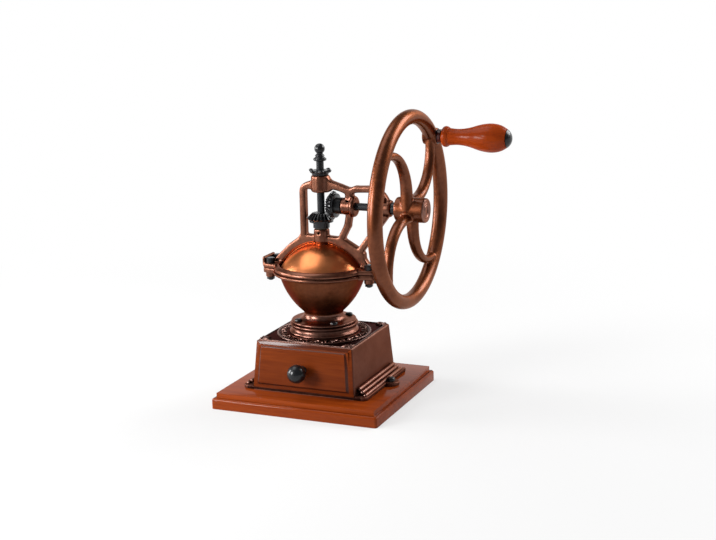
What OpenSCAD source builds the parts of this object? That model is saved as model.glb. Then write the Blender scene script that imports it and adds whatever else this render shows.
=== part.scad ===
// Flywheel coffee grinder: a wooden plinth, a cast housing with a drawer, a bowl-shaped hopper,
// a bridge frame over a domed lid, and a spoked flywheel that turns the burr through two bevel gears.
// Frame: origin under the middle of the plinth, +Z up, -Y is the drawer side, +X the wheel side.

/* [Plinth] */
// Width of the plinth
plinth_w = 160; // [150:1:170]
// Depth of the plinth
plinth_d = 147; // [140:1:160]
// Height of the plinth
plinth_h = 14.1; // [13:0.1:18]
// Height of the plinth's raised middle
plinth_step_h = 4.3; // [3:0.1:5]
// Width of the ledge round the raised middle
plinth_ledge = 3.8; // [3:0.1:5]

/* [Housing] */
// Width of the housing at its foot
house_w = 99.1; // [97:0.1:102]
// Depth of the housing at its foot
house_d = 97.3; // [96:0.1:99]
// Width of the housing's top
house_top_w = 92.4; // [91:0.1:96]
// Depth of the housing's top
house_top_d = 89; // [88:0.1:92]
// Height of the housing
house_h = 45.7; // [44:0.1:50]
// Thickness of the housing's walls
house_wall = 2.6; // [2:0.1:3]
// Thickness of the housing's foot frame
foot_h = 3.3; // [3:0.1:4]
// Width across the housing's foot frame
foot_w = 121; // [119:0.5:122]
// Radius of the foot frame's front corners
foot_corner_r = 5; // [3:0.5:6]
// How far the foot bolts stand outside the foot frame's edge
ear_out = 1.5; // [1:0.1:2.5]
// How far behind the middle the foot bolts sit
ear_y = 6; // [0:1:12]
// Radius of the ears on the foot
ear_r = 8; // [7:0.1:9]
// Radius of the foot bolts' shanks
foot_bolt_r = 2; // [1.5:0.1:2.4]
// Depth of the foot bolts in the plinth
foot_bolt_l = 9; // [7:0.5:12]
// Height of the foot bolts' heads
foot_head_h = 3.6; // [3:0.1:4.5]
// Radius of the hole that the ground coffee falls through
drop_r = 16; // [15.5:0.1:16.5]
// Width of the ledge that the drawer slides on
foot_ledge = 5; // [4:0.5:8]

/* [Bowl] */
// Radius of the round seat on the housing
seat_r = 30.5; // [30:0.1:31]
// Height of the round seat on the housing
seat_h = 6.2; // [5.8:0.1:7]
// Radius of the cove under the round seat
cove_r = 27.5; // [27:0.1:28.5]
// Height of the cove under the round seat
cove_h = 2.2; // [1.8:0.1:2.6]
// Radius of the bowl's foot flange
flange_r = 31; // [30:0.1:33]
// Thickness of the bowl's foot flange
flange_h = 6.7; // [6:0.1:7]
// Radius of the raised bead on the foot flange
bead_r = 29.6; // [29.2:0.1:30]
// Height of the raised bead on the foot flange
bead_h = 2.4; // [2:0.1:3]
// Distance of the flange screws from the axis
flange_screw_ring = 24.6; // [24.2:0.1:25]
// Radius of the flange screws' shanks
flange_screw_r = 1.7; // [1.4:0.1:2]
// Radius of the flange screws' heads
flange_head_r = 3.4; // [3:0.1:3.6]
// Radius of the bowl's neck
neck_r = 17.9; // [17.7:0.1:18.6]
// Height of the neck above the flange
neck_h = 7.3; // [7:0.1:9]
// Radius of the fillet between the neck and the flange
neck_fillet = 6.3; // [5.5:0.1:6.6]
// Height of the bowl above the neck
bowl_h = 38.5; // [37:0.5:42]
// Radius of the bowl just under its rim
bowl_r = 39.4; // [39:0.1:40.5]
// Radius of the curve of the bowl's side
bowl_curve = 66; // [60:1:80]
// Thickness of the bowl's wall
bowl_wall = 2.6; // [2.2:0.1:2.8]
// Radius of the bowl's rim
rim_r = 44.8; // [44:0.1:46]
// Thickness of the bowl's rim
rim_h = 3; // [2.5:0.1:4]

/* [Burrs] */
// Radius of the ring burr's outside
burr_ring_r = 15; // [14.6:0.1:15.3]
// Radius of the ring burr's mouth at the bottom
burr_mouth_r = 13; // [12.8:0.1:13.2]
// Radius of the ring burr's throat at the top
burr_throat_r = 9; // [8.5:0.1:9.5]
// Gap between the two burrs at the bottom
burr_gap = 0.6; // [0.5:0.1:0.9]
// Thickness of the bar that carries the spindle's foot
bar_h = 4; // [3.5:0.1:5]
// Length of the bar that carries the spindle's foot
bar_l = 40; // [36:1:42]
// Width of the bar that carries the spindle's foot
bar_w = 9; // [8.8:0.1:11]

/* [Dome] */
// Radius of the swivelling lid's outside
dome_r = 45.5; // [45:0.1:46.5]
// Height of the dome above the bowl's rim
dome_rise = 24.9; // [24:0.1:26]
// Thickness of the dome's sheet
dome_sheet = 0.9; // [0.8:0.1:1]
// Angle of the lid's small knob behind the middle
lid_knob_angle = 140; // [130:5:150]
// Radius of the lid's small knob
lid_knob_r = 3.2; // [2.5:0.1:4]

/* [Bridge] */
// Height of the bridge's seat ring
ring_h = 3; // [2.8:0.1:3.5]
// Thickness of the bridge's frame, front to back
frame_t = 7; // [6:0.1:8]
// Width of the bridge's bars
bar_t = 5; // [4.6:0.1:5.3]
// Distance of the clamp bolts from the spindle, sideways
clamp_x = 48.5; // [48:0.1:49.5]
// Distance of the clamp bolts from the frame's middle plane
clamp_y = 8; // [7.8:0.1:9]
// Radius of the clamp bolts' shanks
clamp_bolt_r = 2; // [1.6:0.1:2.2]
// Radius of the bosses round the clamp bolts
clamp_boss_r = 4.4; // [4.2:0.1:4.8]
// Radius across the corners of the clamp bolts' heads
clamp_head_r = 4.1; // [3.8:0.1:4.2]
// Height of the clamp bolts' heads
clamp_head_h = 5.3; // [4.5:0.1:6]
// Radius across the corners of the clamp nuts
clamp_nut_r = 3.7; // [3.4:0.1:4]
// Height of the clamp nuts
clamp_nut_h = 2.4; // [2:0.1:3]
// Height of the clamp ears on the bridge
clamp_ear_h = 3.8; // [3.5:0.1:4.5]
// Height of the upright lip at the end of the bridge's ears
lip_h = 6; // [4:0.1:6.5]
// Thickness of the upright lip
lip_t = 2.2; // [1.8:0.1:2.6]
// Height of the clamp ears on the bowl
bowl_ear_h = 8.5; // [7:0.1:9]
// Height of the crank shaft's axis above the dome
axis_rise = 34.05; // [33.5:0.1:36]
// Radius of the spindle's top boss
top_boss_r = 8; // [7.5:0.1:8.5]
// Height of the spindle's top boss
top_boss_h = 14.5; // [13:0.5:16]
// Distance from the crank shaft's axis up to the top boss
top_boss_rise = 12.05; // [11.5:0.1:13]
// Radius of the spindle's lower boss
low_boss_r = 6.7; // [6.2:0.1:7]
// Height of the spindle's lower boss
low_boss_h = 11.7; // [11:0.1:12]
// Radius of the crank shaft's bosses
shaft_boss_r = 7.2; // [6.8:0.1:7.4]
// Radius of the collar on the inner shaft boss
shaft_collar_r = 9; // [8:0.1:9.2]
// Place of the inner shaft boss's near end
inner_boss_x = 21.3; // [21:0.1:22]
// Length of the inner shaft boss
inner_boss_l = 12.7; // [12:0.1:14]
// Place of the outer shaft boss's near end
outer_boss_x = 57; // [56:0.5:58]
// Length of the outer shaft boss
outer_boss_l = 11; // [10:0.5:12]
// Place of the left post
post_x = 17; // [16.5:0.1:18]
// Height of the upper arm over the crank shaft
arm_h = 16.4; // [16:0.1:17]
// Thickness of the frame's saddle over the dome
saddle_t = 7.1; // [6.5:0.1:8]

/* [Gears] */
// Radius of the spindle and the crank shaft
shaft_r = 3.4; // [3.2:0.1:3.5]
// Number of teeth on each gear
teeth = 22; // [20:2:24]
// Pitch radius of each gear
pitch_r = 12.4; // [12.3:0.1:12.6]
// Length of the teeth along the gear's axis
tooth_run = 5.2; // [4.5:0.1:5.4]
// Play between meshing teeth
backlash = 0.5; // [0.4:0.05:0.8]
// Radius of the gears' hubs
gear_hub_r = 7.5; // [7:0.1:8]
// Radius of the disc behind the teeth
gear_disc_r = 10.8; // [10:0.1:10.9]
// Thickness of the disc behind the teeth
gear_disc_h = 1.8; // [1.5:0.1:2]

/* [Adjuster] */
// Radius to the tips of the adjusting nut's lobes
nut_r = 10.9; // [10.4:0.1:11.2]
// Number of lobes on the adjusting nut
nut_lobes = 6; // [5:1:8]
// Height of the adjusting nut
nut_h = 5.6; // [5:0.1:6.5]
// Height of the finial's collar above the nut
finial_rise = 7; // [6:0.1:8]
// Radius of the finial's collar
finial_collar_r = 5.9; // [5.5:0.1:6.2]
// Radius of the finial's ball
finial_ball_r = 4.7; // [4.5:0.1:5.2]

/* [Flywheel] */
// Place of the wheel's middle plane along the shaft
wheel_x = 84.7; // [84:0.1:86]
// Radius of the rim's centre line
wheel_r = 80.7; // [79:0.1:82]
// Radius of the rim's round section
rim_tube_r = 6.6; // [6.2:0.1:7]
// Radius of the wheel's hub
hub_r = 10.9; // [10.5:0.1:11.5]
// Place of the hub's near end
hub_x = 73; // [72.5:0.1:73.5]
// Length of the hub
hub_l = 27.9; // [27:0.1:29]
// Number of spokes
spokes = 4; // [3:1:5]
// How far each spoke starts beside the hub's middle
spoke_side = 7; // [6:0.1:7.2]
// Length of each spoke's straight start
spoke_start = 21.5; // [20:0.5:22]
// Radius of each spoke's curve
spoke_curve = 32.4; // [31.8:0.1:33]
// Half width of the spokes in the wheel's plane
spoke_r = 4.4; // [4:0.1:4.6]
// Half depth of the spokes along the shaft
spoke_depth = 5.6; // [5:0.1:6]

/* [Grip] */
// Angle of the grip round the wheel
grip_angle = 45; // [45:1:47]
// Radius of the pin that the grip turns on
grip_pin_r = 3; // [2.5:0.1:3.1]
// Place of the grip's near end
grip_x = 95.4; // [94.5:0.1:96]
// Length of the grip
grip_l = 60.1; // [58:0.5:62]
// Radius of the grip's belly
grip_belly_r = 12.9; // [12:0.1:13.5]
// Radius of the grip's neck
grip_neck_r = 7.2; // [6.8:0.1:8]
// Radius of the bead at the grip's near end
grip_bead_r = 9.4; // [9:0.1:10]
// Radius of the domed cap on the grip's end
grip_cap_r = 8.2; // [7.5:0.1:8.5]
// Height of the domed cap on the grip's end
grip_cap_h = 4.2; // [3.8:0.1:5]

/* [Drawer] */
// How far the drawer's front stands out of the housing
front_proud = 3.8; // [3:0.1:4.5]
// Width of the bevel round the drawer's front
front_bevel = 2.8; // [2:0.1:3]
// Thickness of the drawer's sides, back and bottom
drawer_board = 3.5; // [3:0.1:4]
// Width of the drawer's box
drawer_w = 80; // [78:0.5:82]
// Space between the drawer's box and the housing's back wall
drawer_gap = 3.4; // [3:0.1:6]
// Height of the drawer's box
drawer_h = 32; // [28:0.5:33]
// Height of the knob's middle above the drawer's lower edge
knob_rise = 20.1; // [18:0.1:21]
// Radius of the knob
knob_r = 8.3; // [7.5:0.1:9]
// Length of the knob's neck
knob_neck_l = 2.4; // [2:0.1:4]

/* [Hidden] */

$fn = 64;
gap = 0.3;
run = 0.05;
slip = 0.1;
over = 1;
far = 300;

// Heights of the stacked pieces
plinth_top = plinth_h;
ear_x = foot_w / 2 + ear_out;
foot_top = plinth_top + foot_h;
house_top = plinth_top + house_h;
seat_top = house_top + seat_h;
flange_top = seat_top + flange_h;
neck_top = flange_top + neck_h;
rim_top = neck_top + bowl_h;
ring_top = rim_top + ring_h;
ear_top = rim_top + clamp_ear_h;
dome_top = rim_top + dome_rise;
dome_z = dome_top - dome_r;
low_boss_z = dome_top + 0.4;
low_boss_top = low_boss_z + low_boss_h;
axis_z = dome_top + axis_rise;
top_boss_z = axis_z + top_boss_rise;
top_boss_top = top_boss_z + top_boss_h;
nut_z = top_boss_top + gap;
nut_top = nut_z + nut_h;
finial_z = nut_top + finial_rise;

// Dome: the fixed front sheet nests under the lid, and both stand on the ledge of the seat ring
dome_gap = 0.4;
shell_r = dome_r - dome_sheet - dome_gap;
ledge_h = 1.2;
ledge_top = rim_top + ledge_h;
frame_clear_r = dome_r + 0.5;
spigot_r = shaft_r + 2;
spigot_l = 4.6;
lid_hole_r = spigot_r + slip;
function dome_at(r, z) = sqrt(r * r - (z - dome_z) * (z - dome_z));
lid_edge_r = dome_at(dome_r, ledge_top);
ring_in_r = lid_edge_r + 0.5;
ledge_in_r = dome_at(shell_r - dome_sheet, ledge_top) - 0.3;
ring_r = rim_r - 1.3;

// Bowl: the side is one arc from the neck to the rim
function unit(v) = v / norm(v);
function arc_centre(p, q, r) =
  (p + q) / 2 + unit([p[1] - q[1], q[0] - p[0]]) * sqrt(r * r - norm(q - p) * norm(q - p) / 4);
function angle_of(v) = atan2(v[1], v[0]);
function arc(c, r, a, b, n) =
  [for (i = [0:n]) c + r * [cos(a + (b - a) * i / n), sin(a + (b - a) * i / n)]];
rim_under = rim_top - rim_h;
side_low = [neck_r, neck_top];
side_high = [bowl_r, rim_under];
side_centre = arc_centre(side_low, side_high, bowl_curve);
side_steps = 14;
burr_top = neck_top - 1;
burr_lip = 1.6;
bore_r = burr_ring_r;
throat_r = burr_ring_r - burr_lip;
bowl_ear_z = rim_top - bowl_ear_h;
bolt_end_z = bowl_ear_z - clamp_nut_h - 0.8;
lip_x = clamp_x + clamp_head_r + gap;
ear_end = lip_x + lip_t;
bead_z = flange_top - bead_h;

// Gears: both cones meet where the spindle's axis crosses the shaft's axis
module_size = 2 * pitch_r / teeth;
tip_rise = 0.95 * module_size;
root_drop = 1.2 * module_size;
virtual_r = pitch_r * sqrt(2);
base_r = virtual_r * cos(20);
function involute(r) = r <= base_r ? 0 : tan(acos(base_r / r)) * 180 / PI - acos(base_r / r);
function tooth_half(s) = (virtual_r + s) * PI / 180
  * (90 / (teeth * sqrt(2)) + involute(virtual_r) - involute(virtual_r + s)) - backlash / 4;
function at_face(s) = (pitch_r + s / sqrt(2)) * pitch_r / (pitch_r - s / sqrt(2));
function tooth_angle(s) = tooth_half(s) / (pitch_r + s / sqrt(2)) * 180 / PI;
tooth_steps = [-root_drop, -0.5 * root_drop, 0, 0.5 * tip_rise, tip_rise];
tooth_flank = [for (s = tooth_steps) [at_face(s), tooth_angle(s)]];
disc_top = pitch_r + tip_rise / sqrt(2) + 0.45;
spindle_hub_end = axis_z - low_boss_top - gap - 1;
shaft_hub_end = inner_boss_x - gap;
set_screw_r = 1.5;
washer_h = 1;

// Bridge outline: places of the frame's corners in the plane through both axes
function over_dome(a, t) = [(dome_r + t) * cos(a), dome_z + (dome_r + t) * sin(a)];
boss_end = inner_boss_x + inner_boss_l;
outer_end = outer_boss_x + outer_boss_l;
oil_r = 1.2;
arm_z = axis_z + arm_h;
arm_arc_x = 47.5;
arm_arc_r = arm_z - axis_z;
shoulder_z = top_boss_z + 0.6;
window_z = low_boss_z + 6;
strut_top = [inner_boss_x + 7.2, axis_z - 4];
strut_mid = [inner_boss_x + 4.7, axis_z - 17.5];
strut_low = [inner_boss_x - 1.6, window_z - 2];
brace_low = [38, dome_top - 5.4];
brace_high = [outer_boss_x + 7.5, axis_z - 4];
arm_low = top_boss_z + 2.3;
arm_start = [top_boss_r - 2, shoulder_z + 7.2];
arm_bend = [20, shoulder_z + 3.7];
arm_dip = [inner_boss_x + 6.9, shoulder_z + 0.8];
arm_rise = [arm_dip[0] + 6.5, arm_z - 0.6];
elbow_r = bar_t / 2 + 0.3;

// Spokes: a straight start beside the hub, then an arc that runs into the rim
spoke_sweep = 150;
spoke_slot = spoke_depth - spoke_r;
grip_y = wheel_r * cos(grip_angle);
grip_z = axis_z + wheel_r * sin(grip_angle);
shaft_start = pitch_r - tooth_run - 1;
shaft_end = hub_x + hub_l - 4;
rim_boss_r = 7.6;
rim_boss_x = wheel_x + rim_tube_r + 0.2;
grip_end = grip_x + grip_l;
cap_x = grip_end + gap;

// Drawer
function house_half_w(z) = (house_w + (house_top_w - house_w) * (z - plinth_top) / house_h) / 2;
function house_half_d(z) = (house_d + (house_top_d - house_d) * (z - plinth_top) / house_h) / 2;
drawer_z = foot_top + gap;
front_low = drawer_z + 0.6;
front_high = house_top - house_wall - gap;
lap_gap = 0.6;
lap_low = foot_top - 0.4;
lap_high = house_top - 0.2;
front_back = house_half_d(house_top) - 3;
box_front = front_back;
drawer_l = front_back + house_half_d(house_top) - house_wall - drawer_gap;
knob_z = lap_low + knob_rise;
function front_half_w(z) = house_half_w(z) - house_wall - 0.35;
function lap_half_w(z) = house_half_w(z) - 0.2;
function lap_back(z) = -house_half_d(z) - lap_gap;
function front_y(z) = -house_half_d(z) - front_proud;
knob_y = front_y(knob_z);
knob_foot_r = 4.4;
knob_foot_h = 1.2;
knob_seat = 1;
knob_neck_r = 3.4;
knob_screw_r = 1.6;

// Common shapes
module tapered_box(w, d, top_w, top_d, h) {
  polyhedron(
    points = [for (s = [[w, d, 0], [top_w, top_d, h]]) for (c = [[-1, -1], [1, -1], [1, 1], [-1, 1]])
      [c[0] * s[0] / 2, c[1] * s[1] / 2, s[2]]],
    faces = [[0, 1, 2, 3], [7, 6, 5, 4], [4, 5, 1, 0], [5, 6, 2, 1], [6, 7, 3, 2], [7, 4, 0, 3]]);
}

module along_x(x, l, r) {
  translate([x, 0, axis_z]) rotate([0, 90, 0]) cylinder(h = l, r = r);
}

module hole_z(x, y, z, l, r) {
  translate([x, y, z]) cylinder(h = l, r = r);
}

module bar(p, q, w) {
  tapered_bar(p, q, w, w);
}

// Bar that is w wide at p and v wide at q
module tapered_bar(p, q, w, v) {
  l = norm(q - p);
  translate(p) rotate(angle_of(q - p)) polygon([[0, -w / 2], [l, -v / 2], [l, v / 2], [0, w / 2]]);
  translate(p) circle(r = w / 2);
  translate(q) circle(r = v / 2);
}

module each_corner(x, y) {
  for (sx = [-1, 1]) for (sy = [-1, 1]) translate([sx * x, sy * y, 0]) children();
}

// Wooden base board with a raised middle
module plinth() {
  raised_w = plinth_w - 2 * plinth_ledge;
  raised_d = plinth_d - 2 * plinth_ledge;
  board_h = plinth_h - plinth_step_h;
  color("sienna") difference() {
    union() {
      translate([-plinth_w / 2, -plinth_d / 2, 0]) cube([plinth_w, plinth_d, board_h]);
      translate([-raised_w / 2, -raised_d / 2, 0]) cube([raised_w, raised_d, plinth_h]);
    }
    for (side = [-1, 1])
      hole_z(side * ear_x, ear_y, plinth_top - foot_bolt_l, foot_bolt_l + over, foot_bolt_r);
  }
}

// Stepped moulding along one side of the housing's foot
module side_moulding() {
  steps = 3;
  step_w = (foot_w / 2 - house_half_w(foot_top)) / steps;
  step_h = 2.4;
  for (i = [1:steps - 1])
    translate([0, 0, foot_top + step_h * (i - 1)])
      linear_extrude(height = step_h)
        translate([0, -house_half_d(foot_top) + 2 * i])
          square([foot_w / 2 - step_w * i, 2 * house_half_d(foot_top) - 4 * i]);
}

// Flat frame under the housing, with rounded front corners
module foot_frame() {
  front = house_d / 2;
  corner = [foot_w / 2 - foot_corner_r, foot_corner_r - front];
  translate([-foot_w / 2, corner[1], 0]) cube([foot_w, house_d / 2 - corner[1], foot_h]);
  translate([-corner[0], -front, 0]) cube([2 * corner[0], front, foot_h]);
  for (side = [-1, 1]) translate([side * corner[0], corner[1], 0]) cylinder(h = foot_h, r = foot_corner_r);
}

// Raised rings and beads on the housing's top
module top_ornament() {
  inner_ring = seat_r + 2.4;
  middle_ring = seat_r + 5;
  outer_ring = house_top_d / 2 - 2.6;
  for (r = [inner_ring, middle_ring, outer_ring])
    translate([0, 0, house_top]) rotate_extrude() translate([r, 0]) circle(r = 0.8);
  bead_ring = (middle_ring + outer_ring) / 2;
  beads = 28;
  for (i = [0:beads - 1])
    rotate(i * 360 / beads) translate([bead_ring, 0, house_top - 1.2]) sphere(r = 2.1);
  each_corner(house_top_w / 2 - 5.5, house_top_d / 2 - 5.5) translate([0, 0, house_top - 2]) sphere(r = 3.2);
}

// Round seat for the bowl: a wide ring over a cove
module seat() {
  edge = 0.9;
  under = house_top + cove_h;
  rotate_extrude() polygon([
    [0, house_top - over], [cove_r, house_top - over], [cove_r, under], [seat_r - edge, under],
    [seat_r, under + edge], [seat_r, seat_top - edge], [seat_r - edge, seat_top], [0, seat_top]]);
}

// Cast housing: sloping walls, open front and underside, foot frame with two ears, round seat on top
module housing() {
  color("saddlebrown") difference() {
    union() {
      translate([0, 0, plinth_top]) tapered_box(house_w, house_d, house_top_w, house_top_d, house_h);
      translate([0, 0, plinth_top]) foot_frame();
      for (side = [0, 180]) rotate(side) side_moulding();
      for (side = [-1, 1]) hole_z(side * ear_x, ear_y, plinth_top, foot_h, ear_r);
      seat();
      top_ornament();
    }
    housing_space();
    hole_z(0, 0, house_top - 2 * house_wall, far, drop_r);
    translate([-bar_l / 2 - slip, -bar_w / 2 - slip, seat_top - bar_h])
      cube([bar_l + 2 * slip, bar_w + 2 * slip, far]);
    each_corner(flange_screw_ring / sqrt(2), flange_screw_ring / sqrt(2))
      hole_z(0, 0, house_top - 2 * house_wall, far, flange_screw_r);
    for (side = [-1, 1]) hole_z(side * ear_x, ear_y, 0, foot_top + over, foot_bolt_r + slip);
  }
}

// Space inside the housing: the drawer's room, open to the front, and the hole through the foot frame
module housing_space() {
  low = foot_top;
  high = house_top - house_wall;
  inner_low = house_half_w(low) - house_wall;
  inner_high = house_half_w(high) - house_wall;
  back_low = house_half_d(low) - house_wall;
  back_high = house_half_d(high) - house_wall;
  polyhedron(
    points = [
      [-inner_low, -far, low], [inner_low, -far, low],
      [inner_low, back_low, low], [-inner_low, back_low, low],
      [-inner_high, -far, high], [inner_high, -far, high],
      [inner_high, back_high, high], [-inner_high, back_high, high]],
    faces = [[0, 1, 2, 3], [7, 6, 5, 4], [4, 5, 1, 0], [5, 6, 2, 1], [6, 7, 3, 2], [7, 4, 0, 3]]);
  hole_w = drawer_w - 2 * foot_ledge;
  hole_d = house_d - 6 * foot_ledge;
  translate([-hole_w / 2, -hole_d / 2, plinth_top - over]) cube([hole_w, hole_d, foot_h + 2 * over]);
}

// Two bolts that hold the housing down on the plinth
module foot_bolts() {
  color("dimgray") for (side = [-1, 1]) {
    hole_z(side * ear_x, ear_y, plinth_top - foot_bolt_l, foot_bolt_l + foot_h, foot_bolt_r);
    hole_z(side * ear_x, ear_y, foot_top, foot_head_h, 2 * foot_bolt_r);
  }
}

// Bowl: hopper, neck and foot flange in one casting, with a pair of clamp ears at each side
module bowl() {
  inner_curve = bowl_curve - bowl_wall;
  low_angle = angle_of(side_low - side_centre);
  high_angle = angle_of(side_high - side_centre);
  throat_z = neck_top + 1.5;
  inner_low = asin((throat_z - side_centre[1]) / inner_curve);
  inner_high = asin((rim_top - side_centre[1]) / inner_curve);
  edge = 1.2;
  bead_edge = 0.6;
  color("saddlebrown") difference() {
    union() {
      rotate_extrude() polygon(concat(
        [[bore_r, seat_top], [flange_r - edge, seat_top], [flange_r, seat_top + edge],
         [flange_r, bead_z - edge], [flange_r - edge, bead_z], [bead_r - bead_edge, bead_z],
         [bead_r, bead_z + bead_edge], [bead_r, flange_top - bead_edge], [bead_r - bead_edge, flange_top]],
        arc([neck_r + neck_fillet, flange_top + neck_fillet], neck_fillet, 270, 180, 8),
        arc(side_centre, bowl_curve, low_angle, high_angle, side_steps),
        [[rim_r, rim_under], [rim_r, rim_top]],
        arc(side_centre, inner_curve, inner_high, inner_low, side_steps),
        [[throat_r, throat_z], [throat_r, burr_top], [bore_r, burr_top]]));
      clamp_ears(bowl_ear_z, bowl_ear_h, bowl_r - 0.6);
    }
    clamp_holes();
    each_corner(flange_screw_ring / sqrt(2), flange_screw_ring / sqrt(2)) {
      hole_z(0, 0, seat_top - over, flange_h + 2 * over, flange_screw_r + slip);
      hole_z(0, 0, flange_top, neck_fillet, flange_head_r + slip);
    }
  }
}

// A wide ear with two bolt holes at each side, joined to the ring of radius r
module clamp_ears(z, h, r) {
  corner_x = ear_end - clamp_boss_r;
  side_y = clamp_y + clamp_boss_r;
  for (side = [0, 180]) rotate(side) translate([0, 0, z]) difference() {
    linear_extrude(height = h) {
      for (sy = [-1, 1]) translate([corner_x, sy * clamp_y]) circle(r = clamp_boss_r);
      translate([0, -clamp_y]) square([ear_end, 2 * clamp_y]);
      polygon([[r * 0.9, -clamp_y - 7], [corner_x, -side_y], [corner_x, side_y], [r * 0.9, clamp_y + 7]]);
    }
    translate([0, 0, -over]) cylinder(h = h + 2 * over, r = r);
    translate([-far, -far / 2, -over]) cube([far, far, h + 2 * over]);
  }
}

// Upright lip at the outer end of each of the bridge's ears
module ear_lips() {
  half = clamp_y + clamp_boss_r - 1.5;
  for (side = [0, 180])
    rotate(side) translate([lip_x, -half, ear_top - over]) cube([lip_t, 2 * half, lip_h + over]);
}

// Holes for the clamp bolts through both pairs of ears
module clamp_holes() {
  each_corner(clamp_x, clamp_y) hole_z(0, 0, 0, ear_top + over, clamp_bolt_r + slip);
}

// Four screws that hold the bowl's flange on the housing
module flange_screws() {
  head_h = 2.2;
  color("dimgray") each_corner(flange_screw_ring / sqrt(2), flange_screw_ring / sqrt(2)) {
    hole_z(0, 0, house_top - house_wall - over, flange_top - house_top + house_wall + over, flange_screw_r);
    hole_z(0, 0, flange_top, head_h, flange_head_r);
  }
}

// Outer grinding ring, pressed up against the lip in the bowl's neck
module ring_burr() {
  grooves = 12;
  color("gray") difference() {
    hole_z(0, 0, seat_top, burr_top - seat_top, bore_r);
    translate([0, 0, seat_top]) cylinder(h = burr_top - seat_top, r1 = burr_mouth_r, r2 = burr_throat_r);
    for (i = [0:grooves - 1])
      rotate(i * 360 / grooves) translate([burr_throat_r + 0.6, 0, seat_top - over]) cylinder(h = far, r = 1);
  }
}

// Bar across the outlet that carries the spindle's foot
module bearing_bar() {
  hub_r_low = shaft_r + 3;
  color("gray") difference() {
    union() {
      translate([-bar_l / 2, -bar_w / 2, seat_top - bar_h]) cube([bar_l, bar_w, bar_h]);
      hole_z(0, 0, seat_top - bar_h - 1.5, bar_h + 1.5, hub_r_low);
    }
    hole_z(0, 0, 0, far, shaft_r + run);
  }
}

// Grinding cone on the spindle
module cone_burr() {
  cone_top = burr_top + 6;
  low = seat_top + 0.8;
  low_r = burr_mouth_r - (burr_mouth_r - burr_throat_r) * 0.8 / (burr_top - seat_top) - burr_gap;
  high_r = shaft_r + 1.6;
  flutes = 9;
  color("gray") difference() {
    translate([0, 0, low]) cylinder(h = cone_top - low, r1 = low_r, r2 = high_r);
    for (i = [0:flutes - 1])
      rotate(i * 360 / flutes)
        translate([(low_r + high_r) / 2 + 1.5, 0, low - over]) cylinder(h = far, r = 1.1);
    hole_z(0, 0, 0, far, shaft_r);
    burr_pin_shape();
  }
}

module burr_pin_shape() {
  translate([0, 0, burr_top + 2]) rotate([90, 0, 0]) cylinder(h = 2 * shaft_r + 4, r = 1, center = true);
}

// Cross pin that locks the cone burr on the spindle
module burr_pin() {
  color("silver") burr_pin_shape();
}

// Frame of the bridge in its own plane
module frame_outline() {
  difference() {
    union() {
      polygon([
        [-clamp_x, rim_top], [-clamp_x, ear_top], over_dome(141, saddle_t), over_dome(126, saddle_t),
        over_dome(114, saddle_t + 1), [-post_x - bar_t / 2, window_z + 0.6], [-post_x, window_z],
        [strut_low[0] + bar_t / 2, window_z - 1], over_dome(64, saddle_t + 2),
        over_dome(49, saddle_t + 3), over_dome(42, saddle_t + 4), over_dome(38, saddle_t + 1),
        [clamp_x, ear_top], [clamp_x, rim_top]]);
      bar([-post_x, window_z], [-post_x, shoulder_z - 1], bar_t);
      left_shoulder();
      tapered_bar(arm_start, arm_bend, bar_t + 1.6, bar_t + 0.4);
      bar(arm_bend, arm_dip, bar_t + 0.4);
      boss_web();
      bar(arm_dip, [arm_dip[0], axis_z], bar_t + 1.4);
      bar(arm_dip, arm_rise, bar_t);
      translate(arm_rise) circle(r = elbow_r);
      bar(arm_rise, [arm_arc_x, arm_z], bar_t);
      translate([arm_arc_x, axis_z]) difference() {
        circle(r = arm_arc_r + bar_t / 2);
        circle(r = arm_arc_r - bar_t / 2);
        translate([-far, -far / 2]) square(far);
        translate([-far / 2, -far]) square(far);
      }
      bar(strut_top, strut_mid, bar_t);
      translate(strut_mid) circle(r = elbow_r);
      bar(strut_mid, strut_low, bar_t);
      bar(brace_low, brace_high, bar_t);
    }
    translate([0, dome_z]) circle(r = frame_clear_r);
  }
}

// Rounded shoulder from the left post into the top boss
module left_shoulder() {
  out_x = -post_x - bar_t / 2;
  in_x = -post_x + bar_t / 2;
  polygon([
    [out_x, shoulder_z - 2], [out_x + 0.2, shoulder_z + 0.8], [out_x + 1, shoulder_z + 3],
    [out_x + 2.6, shoulder_z + 5], [out_x + 5.6, shoulder_z + 7], [1 - top_boss_r, shoulder_z + 9.2],
    [1 - top_boss_r, arm_low], [in_x + 1.2, arm_low], [in_x + 0.4, arm_low - 0.4], [in_x, arm_low - 1.2],
    [in_x, shoulder_z - 2]]);
}

// Web that widens the right arm where it meets the top boss
module boss_web() {
  polygon([
    [top_boss_r - 1, top_boss_z + 0.2], [top_boss_r + 1.2, top_boss_z + 0.6],
    [top_boss_r + 4.4, top_boss_z + 3.2], [top_boss_r + 3.4, top_boss_z + 9.6],
    [top_boss_r + 1.2, top_boss_z + 11], [top_boss_r + 0.2, top_boss_z + 13],
    [top_boss_r - 1, top_boss_z + 13]]);
}

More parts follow.
